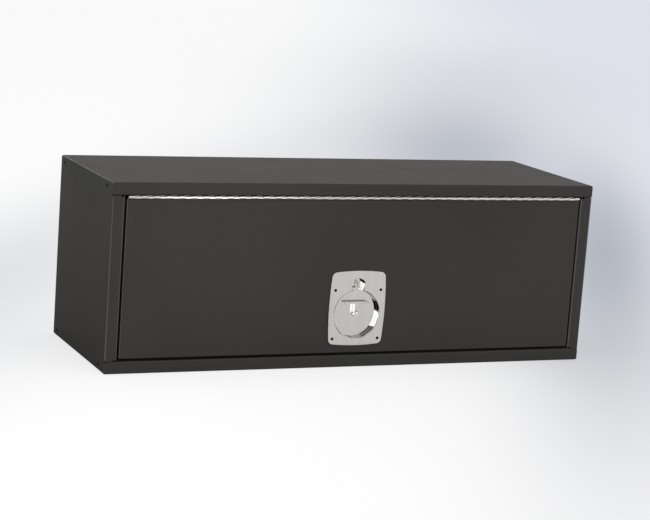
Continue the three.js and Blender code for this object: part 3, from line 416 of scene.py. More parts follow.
def dress_node(name, finish, edge, segments=2, merge=True):
    """Gives a node of the frame its finish and rounds its sharp edges.

    A sheet with holes keeps its own triangles, because merged they would overlap.
    """
    node = frame["nodes"][name]
    mesh = node.data
    mesh.materials.clear()
    mesh.materials.append(finish)
    if "custom_normal" in mesh.attributes:
        mesh.attributes.remove(mesh.attributes["custom_normal"])
    mesh.polygons.foreach_set("use_smooth", [True] * len(mesh.polygons))
    weld = node.modifiers.new("Join split corners", "WELD")
    weld.merge_threshold = 1e-6
    if merge:
        flat = node.modifiers.new("Merge flat faces", "DECIMATE")
        flat.decimate_type = "DISSOLVE"
        flat.angle_limit = math.radians(0.5)
    bevel = node.modifiers.new("Round edges", "BEVEL")
    bevel.width = edge
    bevel.segments = segments
    bevel.limit_method = "ANGLE"
    bevel.angle_limit = math.radians(35)
    bevel.miter_outer = "MITER_ARC"
    bevel.use_clamp_overlap = True
    weigh_normals(node)


# Materials


def add_node(tree, kind, spot, values=None, **settings):
    """Adds a node. Values are numbers for its sockets, or sockets to link from."""
    node = tree.nodes.new(kind)
    node.location = spot
    for setting, value in settings.items():
        setattr(node, setting, value)
    for socket, value in (values or {}).items():
        if isinstance(value, bpy.types.NodeSocket):
            tree.links.new(value, node.inputs[socket])
        else:
            node.inputs[socket].default_value = value
    return node


def start_group(name, inputs, outputs):
    """An empty node group with named sockets, each given as (name, kind, default)."""
    group = bpy.data.node_groups.new(name, "ShaderNodeTree")
    for socket_name, kind, default in inputs:
        socket = group.interface.new_socket(socket_name, in_out="INPUT", socket_type=kind)
        socket.default_value = default
    for socket_name, kind in outputs:
        group.interface.new_socket(socket_name, in_out="OUTPUT", socket_type=kind)
    entry = group.nodes.new("NodeGroupInput")
    entry.location = (-900, 0)
    exit_node = group.nodes.new("NodeGroupOutput")
    exit_node.location = (700, 0)
    return group, entry.outputs, exit_node.inputs


FLOAT = "NodeSocketFloat"
VECTOR = "NodeSocketVector"


def noise(tree, spot, vector, scale, detail=3.0, roughness=0.5):
    """A noise texture's value."""
    node = add_node(
        tree,
        "ShaderNodeTexNoise",
        spot,
        {"Vector": vector, "Scale": scale, "Detail": detail, "Roughness": roughness},
    )
    return node.outputs[0]


def maths(tree, spot, operation, a, b=0.0, c=0.0):
    """One arithmetic node."""
    node = add_node(tree, "ShaderNodeMath", spot, {0: a, 1: b, 2: c}, operation=operation)
    return node.outputs[0]


def ramp(tree, spot, value, low, high, to_low=0.0, to_high=1.0, smooth=True):
    """Maps a value from one range to another."""
    node = add_node(
        tree,
        "ShaderNodeMapRange",
        spot,
        {
            "Value": value,
            "From Min": low,
            "From Max": high,
            "To Min": to_low,
            "To Max": to_high,
        },
        interpolation_type="SMOOTHSTEP" if smooth else "LINEAR",
    )
    return node.outputs[0]


def mixed(tree, spot, factor, a, b):
    """Mixes two colours."""
    node = add_node(tree, "ShaderNodeMix", spot, {0: factor, 6: a, 7: b}, data_type="RGBA")
    return node.outputs[2]


def group_node(tree, group, spot, values):
    """Places a node group with its own values."""
    return add_node(tree, "ShaderNodeGroup", spot, values, node_tree=group).outputs


def build_orange_peel():
    """Fine bumps and speckle of cured powder, with a slow swell of the sheet under it."""
    group, given, put = start_group(
        "Orange Peel",
        [("Vector", VECTOR, (0, 0, 0)), ("Grain Size", FLOAT, 900.0), ("Swell Size", FLOAT, 5.0)],
        [("Height", FLOAT), ("Speckle", FLOAT), ("Swell", FLOAT)],
    )
    links = group.links
    grain = noise(group, (-600, 250), given["Vector"], given["Grain Size"], 2.0, 0.55)
    coarse_size = maths(group, (-800, 60), "MULTIPLY", given["Grain Size"], 0.31)
    coarse = noise(group, (-600, 60), given["Vector"], coarse_size, 1.0, 0.5)
    speck_size = maths(group, (-800, -160), "MULTIPLY", given["Grain Size"], 1.7)
    specks = add_node(
        group,
        "ShaderNodeTexVoronoi",
        (-600, -160),
        {"Vector": given["Vector"], "Scale": speck_size},
    ).outputs["Distance"]
    swell = noise(group, (-600, -420), given["Vector"], given["Swell Size"], 1.0, 0.4)
    swelling = maths(group, (-350, 160), "MULTIPLY", coarse, 0.6)
    height = maths(group, (-150, 200), "ADD", grain, swelling)
    speckle = ramp(group, (-350, -160), specks, 0.05, 0.5, 1.0, 0.0)
    links.new(height, put["Height"])
    links.new(speckle, put["Speckle"])
    links.new(swell, put["Swell"])
    return group


def build_handling_marks():
    """Soft smudges and a few rubbed patches, as a mask."""
    group, given, put = start_group(
        "Handling Marks",
        [("Vector", VECTOR, (0, 0, 0)), ("Scale", FLOAT, 12.0), ("Amount", FLOAT, 0.5)],
        [("Mask", FLOAT)],
    )
    broad = noise(group, (-600, 150), given["Vector"], given["Scale"], 4.0, 0.6)
    fine_size = maths(group, (-800, -100), "MULTIPLY", given["Scale"], 6.5)
    fine = noise(group, (-600, -100), given["Vector"], fine_size, 3.0, 0.65)
    patches = ramp(group, (-350, 150), broad, 0.42, 0.72)
    streaks = ramp(group, (-350, -100), fine, 0.3, 0.8)
    both = maths(group, (-120, 50), "MULTIPLY", patches, streaks)
    group.links.new(maths(group, (120, 50), "MULTIPLY", both, given["Amount"]), put["Mask"])
    return group


def build_painted_bend_highlight():
    """The upright bends between the front and an end, as a mask for a painted highlight.

    There the normal leans half to the end and half to the front.
    """
    group, given, put = start_group(
        "Painted Bend Highlight",
        [("Normal", VECTOR, (0, 0, 1)), ("Amount", FLOAT, 1.0)],
        [("Mask", FLOAT)],
    )
    parts = add_node(group, "ShaderNodeSeparateXYZ", (-600, 0), {0: given["Normal"]}).outputs
    across = maths(group, (-400, 100), "ABSOLUTE", parts["X"])
    along = maths(group, (-400, -100), "ABSOLUTE", parts["Y"])
    both = maths(group, (-200, 0), "MULTIPLY", across, along)
    mask = ramp(group, (0, 0), both, 0.2, 0.42)
    group.links.new(maths(group, (250, 0), "MULTIPLY", mask, given["Amount"]), put["Mask"])
    return group


def build_polish_lines():
    """Fine parallel lines left by a polishing belt, as height and mask."""
    group, given, put = start_group(
        "Polish Lines",
        [
            ("Vector", VECTOR, (0, 0, 0)),
            ("Stretch", VECTOR, (1, 1, 1)),
            ("Scale", FLOAT, 400.0),
        ],
        [("Height", FLOAT), ("Mask", FLOAT)],
    )
    stretched = add_node(
        group,
        "ShaderNodeVectorMath",
        (-700, 100),
        {0: given["Vector"], 1: given["Stretch"]},
        operation="MULTIPLY",
    ).outputs[0]
    lines = noise(group, (-450, 150), stretched, given["Scale"], 3.0, 0.7)
    broad_size = maths(group, (-700, -150), "MULTIPLY", given["Scale"], 0.12)
    broad = noise(group, (-450, -100), stretched, broad_size, 2.0, 0.5)
    mask = ramp(group, (-200, -60), broad, 0.35, 0.75)
    group.links.new(lines, put["Height"])
    group.links.new(mask, put["Mask"])
    return group


def build_settled_dust():
    """A thin film of dust on faces that look up, as a mask."""
    group, given, put = start_group(
        "Settled Dust",
        [("Vector", VECTOR, (0, 0, 0)), ("Scale", FLOAT, 30.0), ("Amount", FLOAT, 0.3)],
        [("Mask", FLOAT)],
    )
    normal = add_node(group, "ShaderNodeNewGeometry", (-900, -250)).outputs["Normal"]
    upward = add_node(group, "ShaderNodeSeparateXYZ", (-700, -250), {0: normal}).outputs["Z"]
    lying = ramp(group, (-450, -250), upward, 0.75, 0.98)
    film = noise(group, (-600, 100), given["Vector"], given["Scale"], 5.0, 0.7)
    film = ramp(group, (-350, 100), film, 0.35, 0.8)
    both = maths(group, (-120, 0), "MULTIPLY", film, lying)
    group.links.new(maths(group, (120, 0), "MULTIPLY", both, given["Amount"]), put["Mask"])
    return group


EFFECT_MAKERS = {
    "Orange Peel": build_orange_peel,
    "Handling Marks": build_handling_marks,
    "Painted Bend Highlight": build_painted_bend_highlight,
    "Polish Lines": build_polish_lines,
    "Settled Dust": build_settled_dust,
}


def effect(name):
    """A shared effect, built once."""
    return bpy.data.node_groups.get(name) or EFFECT_MAKERS[name]()


def start_material(name):
    """A material with only a shader, its output and the object's own coordinates."""
    material = bpy.data.materials.new(name)
    material.use_nodes = True
    tree = material.node_tree
    tree.nodes.clear()
    output = add_node(tree, "ShaderNodeOutputMaterial", (900, 0))
    shader = add_node(tree, "ShaderNodeBsdfPrincipled", (600, 0))
    tree.links.new(shader.outputs[0], output.inputs["Surface"])
    spot = add_node(tree, "ShaderNodeTexCoord", (-1200, 0)).outputs["Object"]
    return material, tree, shader.inputs, spot


def link_bump(tree, shader, height, strength, distance):
    """Turns a height into the shader's normal."""
    bump = add_node(
        tree,
        "ShaderNodeBump",
        (350, -350),
        {"Height": height, "Strength": strength, "Distance": distance},
    )
    tree.links.new(bump.outputs[0], shader["Normal"])


def rgba(colour, factor=1.0):
    """A colour as four numbers, made lighter or darker."""
    return (colour[0] * factor, colour[1] * factor, colour[2] * factor, 1.0)


def make_powder_coat(finishes):
    """Satin black powder coat: orange peel, speckle, dust, handling marks and a painted highlight
    on the upright bends.
    """
    material, tree, shader, spot = start_material("black powder coat")
    peel = group_node(
        tree,
        effect("Orange Peel"),
        (-850, 250),
        {"Vector": spot, "Grain Size": 750.0, "Swell Size": 4.0},
    )
    marks = group_node(
        tree,
        effect("Handling Marks"),
        (-850, -50),
        {"Vector": spot, "Scale": 7.0, "Amount": 0.6},
    )
    dust = group_node(
        tree,
        effect("Settled Dust"),
        (-850, -300),
        {"Vector": spot, "Scale": 22.0, "Amount": 0.05},
    )
    base = finishes.powder
    swell = ramp(tree, (-650, 400), peel["Swell"], 0.3, 0.7)
    cured = mixed(tree, (-450, 300), swell, rgba(base, 0.95), rgba(base, 1.05))
    speckle = maths(tree, (-420, 60), "MULTIPLY", peel["Speckle"], 0.22)
    specked = mixed(tree, (-200, 250), speckle, cured, rgba(base, 1.5))
    dusted = mixed(tree, (50, 200), dust["Mask"], specked, (0.28, 0.27, 0.25, 1))
    facing = add_node(tree, "ShaderNodeTexCoord", (-1200, -500)).outputs["Normal"]
    bend_highlight = group_node(
        tree, effect("Painted Bend Highlight"), (-850, -550), {"Normal": facing, "Amount": 1.0}
    )
    # Painted highlight: the upright bends are painted much lighter than the coat.
    wear_and_sheen = mixed(tree, (300, 200), bend_highlight["Mask"], dusted, rgba(base, 2.8))
    tree.links.new(wear_and_sheen, shader["Base Color"])
    rough = maths(
        tree, (-200, -100), "MULTIPLY_ADD", marks["Mask"], 0.1, finishes.powder_gloss
    )
    tree.links.new(rough, shader["Roughness"])
    shader["Specular IOR Level"].default_value = 0.14
    link_bump(tree, shader, peel["Height"], 0.35, 0.00006)
    return material


def make_polished(name, colour, roughness, stretch, scale, line_depth, extra_rough):
    """A polished metal with belt lines and light smudges."""
    material, tree, shader, spot = start_material(name)
    lines = group_node(
        tree,
        effect("Polish Lines"),
        (-850, 200),
        {"Vector": spot, "Stretch": stretch, "Scale": scale},
    )
    marks = group_node(
        tree,
        effect("Handling Marks"),
        (-850, -100),
        {"Vector": spot, "Scale": 28.0, "Amount": 1.0},
    )
    tinted = mixed(tree, (-300, 200), lines["Mask"], rgba(colour, 0.975), rgba(colour, 1.02))
    tree.links.new(tinted, shader["Base Color"])
    wear_and_sheen = maths(tree, (-450, -50), "ADD", marks["Mask"], lines["Mask"])
    rough = maths(tree, (-200, -100), "MULTIPLY_ADD", wear_and_sheen, extra_rough, roughness)
    tree.links.new(rough, shader["Roughness"])
    shader["Metallic"].default_value = 1.0
    link_bump(tree, shader, lines["Height"], line_depth, 0.00002)
    return material


def make_zinc(finishes):
    """Zinc plate: a faint spangle over a soft bump."""
    material, tree, shader, spot = start_material("zinc plate")
    spangle = add_node(
        tree,
        "ShaderNodeTexVoronoi",
        (-850, 200),
        {"Vector": spot, "Scale": 260.0, "Randomness": 1.0},
    )
    marks = group_node(
        tree,
        effect("Handling Marks"),
        (-850, -150),
        {"Vector": spot, "Scale": 45.0, "Amount": 0.9},
    )
    lightness = add_node(
        tree, "ShaderNodeSeparateColor", (-600, 250), {0: spangle.outputs["Color"]}
    ).outputs[0]
    tinted = mixed(
        tree, (-300, 200), lightness, rgba(finishes.zinc, 0.9), rgba(finishes.zinc, 1.1)
    )
    hazed = mixed(tree, (-50, 150), marks["Mask"], tinted, (0.3, 0.31, 0.3, 1))
    tree.links.new(hazed, shader["Base Color"])
    rough = ramp(tree, (-300, -150), lightness, 0.0, 1.0, 0.28, 0.42, smooth=False)
    tree.links.new(rough, shader["Roughness"])
    shader["Metallic"].default_value = 1.0
    grain = noise(tree, (-300, -400), spot, 900.0, 2.0)
    link_bump(tree, shader, grain, 0.15, 0.00004)
    return material


def make_rubber(finishes):
    """Closed-cell foam rubber: small pores with painted shade in them, and a dusty bloom."""
    material, tree, shader, spot = start_material("foam rubber")
    pores = add_node(
        tree, "ShaderNodeTexVoronoi", (-850, 150), {"Vector": spot, "Scale": 1400.0}
    ).outputs["Distance"]
    bloom = group_node(
        tree,
        effect("Handling Marks"),
        (-850, -150),
        {"Vector": spot, "Scale": 35.0, "Amount": 0.5},
    )
    open_pores = ramp(tree, (-600, 200), pores, 0.1, 0.6)
    # Painted shade: the pores are painted darker than the rubber between them.
    dotted = mixed(
        tree, (-350, 150), open_pores, rgba(finishes.rubber, 0.55), rgba(finishes.rubber, 1.3)
    )
    tinted = mixed(tree, (-100, 100), bloom["Mask"], dotted, (0.05, 0.05, 0.048, 1))
    tree.links.new(tinted, shader["Base Color"])
    rough = ramp(tree, (-350, -100), pores, 0.0, 0.7, 0.95, 0.78, smooth=False)
    tree.links.new(rough, shader["Roughness"])
    link_bump(tree, shader, pores, 0.5, 0.00015)
    return material


def make_dark_paint(name, colour, roughness, coat, grain, depth, shine=0.5):
    """A dark smooth finish with fine grain, as on black oxide, gloss paint or a moulding."""
    material, tree, shader, spot = start_material(name)
    fine = noise(tree, (-850, 200), spot, grain, 3.0, 0.6)
    marks = group_node(
        tree,
        effect("Handling Marks"),
        (-850, -100),
        {"Vector": spot, "Scale": 40.0, "Amount": 0.7},
    )
    specks = ramp(tree, (-600, 250), fine, 0.3, 0.7)
    tinted = mixed(tree, (-350, 200), specks, rgba(colour, 0.8), rgba(colour, 1.3))
    tree.links.new(tinted, shader["Base Color"])
    rough = maths(tree, (-350, -100), "MULTIPLY_ADD", marks["Mask"], 0.18, roughness)
    tree.links.new(rough, shader["Roughness"])
    shader["Coat Weight"].default_value = coat
    shader["Specular IOR Level"].default_value = shine
    link_bump(tree, shader, fine, 0.2, depth)
    return material


def finish(slot):
    """The material of a slot, made once."""
    made = bpy.data.materials.get(f"{slot} finish")
    if made:
        return made
    finishes = bpy.context.scene.locker_finishes
    upright_lines = (1.0, 1.0, 0.03)
    lengthwise_lines = (0.02, 1.0, 1.0)
    rod_lines = (1.0, 0.05, 1.0)
    makers = {
        "black_powder_coat": lambda: make_powder_coat(finishes),
        "polished_stainless": lambda: make_polished(
            "polished stainless", finishes.stainless, 0.035, upright_lines, 900.0, 0.012, 0.02
        ),
        "bright_hinge_steel": lambda: make_polished(
            "bright hinge steel", finishes.hinge, 0.1, lengthwise_lines, 1200.0, 0.05, 0.05
        ),
        "zinc_steel": lambda: make_zinc(finishes),
        "dark_screw": lambda: make_dark_paint(
            "black oxide", finishes.screw, 0.42, 0.0, 1500.0, 0.00002, 0.12
        ),
        "seal_rubber": lambda: make_rubber(finishes),
        "lock_metal": lambda: make_polished(
            "plated lock metal", finishes.lock, 0.04, upright_lines, 700.0, 0.01, 0.02
        ),
        "strut_black": lambda: make_dark_paint(
            "gloss black tube", finishes.strut, 0.28, 0.25, 500.0, 0.00002
        ),
        "strut_plastic": lambda: make_dark_paint(
            "moulded fitting", finishes.fitting, 0.5, 0.0, 1800.0, 0.00005
        ),
        "strut_rod_chrome": lambda: make_polished(
            "hard chrome rod", finishes.chrome, 0.06, rod_lines, 900.0, 0.01, 0.03
        ),
    }
    if slot not in makers:
        raise RuntimeError(f"no finish is written for slot {slot}")
    material = makers[slot]()
    material.name = f"{slot} finish"
    return material


# Pieces


class PieceOperator(bpy.types.Operator):
    """Base of the operators that make pieces."""

    bl_options = {"REGISTER", "UNDO"}

    @property
    def sizes(self):
        """The sizes that this operator reads."""
        return bpy.context.scene.locker_sizes


class LOCKER_OT_coat_body(PieceOperator):
    """Coats the body wrap and the end panels and rounds their sheet edges"""

    bl_idname = "locker.coat_body"
    bl_label = "Coat Body"

    def execute(self, context):
        coat = finish("black_powder_coat")
        dress_node("body_wrap", coat, self.sizes.sheet_edge, 3)
        for name, _ in SIDES:
            dress_node(f"{name}_end_panel", coat, self.sizes.sheet_edge, 3, merge=False)
        return {"FINISHED"}


class LOCKER_OT_dress_seams(PieceOperator):
    """Lays the dressed weld seams that close the joint round each end panel"""

    bl_idname = "locker.dress_seams"
    bl_label = "Dress Seams"

    def execute(self, context):
        coat = finish("black_powder_coat")
        for name, side in SIDES:
            shape = bmesh.new()
            self.lay_seam(shape, side)
            title = f"{name}_end_seam"
            mesh = mesh_of(title, shape)
            add_piece(title, mesh, coat, "locker_body", crease=60)
        return {"FINISHED"}

    def edge_point(self, side, z):
        """Point (x, z) of the end's outline at a height, and the outward direction there."""
        radius = self.sizes.depth_edge
        beyond = max(z - (WRAP_HIGH.z - radius), 0) - max(radius - z, 0)
        angle = math.asin(max(-1, min(1, beyond / radius)))
        x = side * (WRAP_HIGH.x - radius + radius * math.cos(angle))
        return Vector((x, 0, z)), Vector((side * math.cos(angle), 0, math.sin(angle)))

    def lay_seam(self, shape, side):
        """A low rounded bead along the four edges of an end panel."""
        sizes = self.sizes
        inset = sizes.body_sheet + sizes.clearance / 2
        front, back = WRAP_LOW.y + inset, WRAP_HIGH.y - inset
        low, high = WRAP_LOW.z + inset, WRAP_HIGH.z - inset
        rise = [(sizes.depth_edge - inset) * step / 4 for step in range(5)]
        upwards = [low + r for r in rise] + [high - r for r in reversed(rise)]
        stops = [(front, z) for z in upwards] + [(back, z) for z in reversed(upwards)]
        half, proud = sizes.seam_half, sizes.seam_proud
        section = [(-half, -sizes.seam_root), (-half, 0), (-0.55 * half, 0.8 * proud), (0, proud)]
        section += [(-u, v) for u, v in reversed(section[:3])]
        rows = []
        for y, z in stops:
            point, outward = self.edge_point(side, z)
            point.y = y
            across = Vector((0, math.copysign(1, y), 0))
            if z in (low, high):
                # The bead turns its corner here, so its width points to the corner
                upward = Vector((-side * outward.z, 0, side * outward.x))
                upward *= math.copysign(1, upward.z) * math.copysign(1, z - WRAP_HIGH.z / 2)
                across += upward
            rows.append([shape.verts.new(point + outward * v + across * u) for u, v in section])
        count = len(section)
        for row, after in zip(rows, rows[1:] + rows[:1]):
            for step in range(count):
                beyond = (step + 1) % count
                shape.faces.new((row[step], row[beyond], after[beyond], after[step]))


class LOCKER_OT_coat_door(PieceOperator):
    """Coats the door skin and the inner panel and rounds their sheet edges"""

    bl_idname = "locker.coat_door"
    bl_label = "Coat Door"

    def execute(self, context):
        coat = finish("black_powder_coat")
        for name in ("door_skin", "door_inner_panel"):
            dress_node(name, coat, self.sizes.door_edge)
        return {"FINISHED"}


class LOCKER_OT_lay_seal(PieceOperator):
    """Lays the foam rubber seal on the ledges"""

    bl_idname = "locker.lay_seal"
    bl_label = "Lay Seal"

    def execute(self, context):
        dress_node("door_seal", finish("seal_rubber"), self.sizes.seal_edge, 4)
        return {"FINISHED"}


class LOCKER_OT_roll_hinge(PieceOperator):
    """Rolls the knuckles of both hinge leaves and fits the pin"""

    bl_idname = "locker.roll_hinge"
    bl_label = "Roll Hinge"

    # In degrees: where the roll begins and ends, and how much of it draws the sheet inwards
    roll_start, roll_end, draw_in = 90, 395, 150
    roll_steps = 22

    def execute(self, context):
        steel = finish("bright_hinge_steel")
        for name, body, up, first in (
            ("hinge_frame_leaf", "locker_body", 1, 0),
            ("hinge_door_leaf", "door", -1, 1),
        ):
            shape = bmesh.new()
            self.roll_leaf(shape, up, first)
            title = f"rolled_{name}"
            mesh = mesh_of(title, shape)
            piece = add_piece(title, mesh, steel, body, (name,), 40)
            if up > 0:
                ease = piece.modifiers.new("eased ends", "BEVEL")
                ease.width, ease.segments = self.sizes.knuckle_edge, 2
                ease.limit_method, ease.angle_limit = "ANGLE", math.radians(60)
            weigh_normals(piece)
        shape = bmesh.new()
        half = self.half_length()
        radius = self.sizes.pin_radius
        chamfer = radius * 0.3
        profile = [
            (0, -half),
            (radius - chamfer, -half),
            (radius, -half + chamfer),
            (radius, half - chamfer),
            (radius - chamfer, half),
            (0, half),
        ]
        turn_profile(shape, profile, 20, place_at(HINGE_AXIS, ALONG_X))
        add_piece(
            "round_hinge_pin",
            mesh_of("round_hinge_pin", shape),
            steel,
            "locker_body",
            ("hinge_pin",),
        )
        return {"FINISHED"}

    def half_length(self):
        """Half the length of the hinge."""
        return self.sizes.knuckle_count * self.sizes.knuckle_pitch / 2

    def leaf_path(self, up):
        """Outer and inner (y, z) points from the leaf's far edge to the end of the roll."""
        sizes = self.sizes
        outer, sheet = sizes.knuckle_radius, sizes.leaf_sheet
        root = outer + sizes.clearance
        path = [((reach, outer), (reach, outer - sheet)) for reach in (sizes.leaf_width, root)]
        rolled = self.roll_end - self.roll_start
        for step in range(self.roll_steps + 1):
            turned = rolled * step / self.roll_steps
            share_in = min(1, turned / self.draw_in)
            radius = outer - sizes.curl * share_in * share_in * (3 - 2 * share_in)
            angle = math.radians(self.roll_start + turned)
            across, rise = math.cos(angle), math.sin(angle)
            within = radius - sheet
            path.append(((radius * across, radius * rise), (within * across, within * rise)))
        return [((a[0], up * a[1]), (b[0], up * b[1])) for a, b in path]

    def roll_leaf(self, shape, up, first):
        """One leaf: a comb of sheet fingers, each rolled round the pin."""
        sizes = self.sizes
        path = self.leaf_path(up)
        half, pitch, play = self.half_length(), sizes.knuckle_pitch, sizes.clearance / 2
        stops = [(-half + play, False)]
        for index in range(sizes.knuckle_count):
            start = -half + index * pitch
            if (index - first) % 2 == 0:
                stops.append((start + play, True))
                stops.append((start + pitch - play, False))
        stops.append((half - play, False))
        columns = [(a[0], b[0], a[1]) for a, b in zip(stops, stops[1:]) if b[0] - a[0] > TINY]
        for number, (start, end, rolled) in enumerate(columns):
            reach = len(path) if rolled else 2
            self.add_column(shape, path[:reach], start, end)
            self.add_side(shape, path, start, reach, number > 0)
            self.add_side(shape, path, end, reach, number + 1 < len(columns))

    def corner(self, shape, x, point):
        """A corner of the leaf, given in the hinge's own frame."""
        return shape.verts.new((x, HINGE_AXIS.y + point[0], HINGE_AXIS.z + point[1]))

    def add_column(self, shape, path, start, end):
        """Outer face, inner face and the two end faces of one column."""
        strips = []
        for side in (0, 1):
            strips += [(here[side], there[side]) for here, there in zip(path, path[1:])]
        for near, far in strips + [path[0], path[-1]]:
            points = [(start, near), (end, near), (end, far), (start, far)]
            shape.faces.new([self.corner(shape, x, point) for x, point in points])

    def add_side(self, shape, path, x, reach, has_neighbour):
        """Side wall of a column. A neighbour joins its flat part, so only the roll is open."""
        open_path = path[1 if has_neighbour else 0:reach]
        for here, there in zip(open_path, open_path[1:]):
            points = [here[0], there[0], there[1], here[1]]
            shape.faces.new([self.corner(shape, x, point) for point in points])


class LOCKER_OT_set_rivets(PieceOperator):
    """Sets domed rivets in both hinge leaves"""

    bl_idname = "locker.set_rivets"
    bl_label = "Set Rivets"

    def execute(self, context):
        zinc = finish("zinc_steel")
        shank, thick = self.sizes.rivet_shank, self.sizes.rivet_head
        for leaf, body in (("frame", "locker_body"), ("door", "door")):
            for number in range(1, RIVETS_PER_LEAF + 1):
                node = f"hinge_{leaf}_rivet_{number}"
                low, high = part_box(node)
                centre = middle_of(node)
                centre.z = low.z
                tall, head = high.z - low.z, (high.x - low.x) / 2
                profile = [(0, 0), (0.55 * head, 0.06 * thick), (0.85 * head, 0.4 * thick)]
                profile += [(head, 0.85 * thick), (head, thick), (shank, thick)]
                profile += [(radius, tall - along) for radius, along in reversed(profile)]
                shape = bmesh.new()
                turn_profile(shape, profile, 20, place_at(centre, ALONG_Z))
                name = f"domed_{leaf}_rivet_{number}"
                mesh = mesh_of(name, shape)
                add_piece(name, mesh, zinc, body, (node,))
        return {"FINISHED"}


class LOCKER_OT_press_latch_plate(PieceOperator):
    """Presses the latch plate: bowed flange, round dish and lock recess"""

    bl_idname = "locker.press_latch_plate"
    bl_label = "Press Latch Plate"

    def execute(self, context):
        sizes = self.sizes
        dish, lock = place_at(LATCH_CENTRE), place_at(LOCK_CENTRE)
        flange = bmesh.new()
        layers = [(self.flange_outline(inset), rise) for inset, rise in rounding(sizes.plate_edge)]
        stack_outlines(flange, layers + [(self.flange_outline(0), sizes.plate_sheet)], dish)
        dish_size = (sizes.dish_radius, sizes.dish_depth)
        recess_size = (sizes.recess_radius, sizes.recess_depth)
        joined = [self.cup(*dish_size, dish, 144), self.cup(*recess_size, lock, 72)]
        cut = [
            self.hollow(*dish_size, sizes.dish_lip, sizes.dish_floor, dish, 160),
            self.hollow(*recess_size, sizes.recess_lip, sizes.recess_floor, lock, 80),
            self.through_hole(sizes.spindle_hole, dish),
            self.through_hole(sizes.lock_hole, lock),
        ]
        half = sizes.screw_pattern / 2
        cut += [self.countersink(x, z) for x in (-half, half) for z in (-half, half)]
        steps = [("UNION", shape) for shape in joined] + [("DIFFERENCE", shape) for shape in cut]
        mesh = combined("pressed_latch_plate", flange, steps)
        piece = add_piece(
            "pressed_latch_plate",
            mesh,
            finish("polished_stainless"),
            "door",
            ("latch_plate",),
            38,
        )
        weigh_normals(piece)
        return {"FINISHED"}

    def flange_outline(self, inset):
        """The plate's outline with bowed edges, about the dish centre."""
        sizes = self.sizes
        half_width = sizes.plate_half_width - sizes.plate_bow - inset
        half_height = sizes.plate_half_height - sizes.plate_bow - inset
        radius = sizes.plate_corner - inset
        outline = []
        for quarter in range(4):
            turn = math.radians(90 * quarter)
            level = quarter % 2 == 0
            reach, run = (half_width, half_height) if level else (half_height, half_width)
            run -= radius
            points = []
            for step in range(1, 24):
                place = 2 * step / 24 - 1
                points.append((reach + sizes.plate_bow * (1 - place * place), run * place))
            points += arc(reach - radius, run, radius, 0, 90, 10)
            for u, v in points:
                outline.append(
                    (
                        u * math.cos(turn) - v * math.sin(turn),
                        u * math.sin(turn) + v * math.cos(turn) + sizes.plate_rise,
                    )
                )
        return outline

    def cup(self, radius, depth, place, steps):
        """Back of a pressed hollow, with a rounded rear edge."""
        sheet = self.sizes.plate_sheet
        outer, back, edge = radius + sheet, depth + sheet, self.sizes.cup_edge
        start = 0.4 * MM
        shape = bmesh.new()
        corner = arc(outer - edge, back - edge, edge, 0, 90, 6)
        turn_profile(shape, [(0, start), (outer, start)] + corner + [(0, back)], steps, place)
        return shape

    def hollow(self, radius, depth, lip, floor, place, steps):
        """Cutter for a round hollow with a rolled lip and a rounded floor."""
        shape = bmesh.new()
        rolled = arc(radius + lip, lip, lip, 270, 180, 10)
        rounded = arc(radius - floor, depth - floor, floor, 0, 90, 6)
        above = -1 * MM
        profile = [(0, above), (radius + lip, above)] + rolled + rounded + [(0, depth)]
        turn_profile(shape, profile, steps, place)
        return shape

    def through_hole(self, radius, place):
        """Cutter for a round hole through the floor."""
        shape = bmesh.new()
        front, back = 1 * MM, self.sizes.dish_depth + self.sizes.plate_sheet + 1 * MM
        turn_profile(shape, [(0, front), (radius, front), (radius, back), (0, back)], 48, place)
        return shape

    def countersink(self, x, z):
        """Cutter for one screw's countersunk hole."""
        sizes = self.sizes
        head, shank = sizes.screw_head + 0.25 * MM, sizes.screw_shank + 0.3 * MM
        above, sheet = -1 * MM, sizes.plate_sheet
        below = sheet + 1 * MM
        profile = [(0, above), (head, above), (head, 0.1 * MM), (shank, sheet)]
        profile += [(shank, below), (0, below)]
        shape = bmesh.new()
        turn_profile(shape, profile, 32, place_at(LATCH_CENTRE + Vector((x, 0, z))))
        return shape


class LOCKER_OT_back_latch(PieceOperator):
    """Dresses the gasket and the backing plate of the latch"""

    bl_idname = "locker.back_latch"
    bl_label = "Back Latch"

    def execute(self, context):
        dress_node("latch_gasket", finish("seal_rubber"), 0.2 * MM)
        dress_node("latch_backing_plate", finish("zinc_steel"), self.sizes.small_edge)
        return {"FINISHED"}


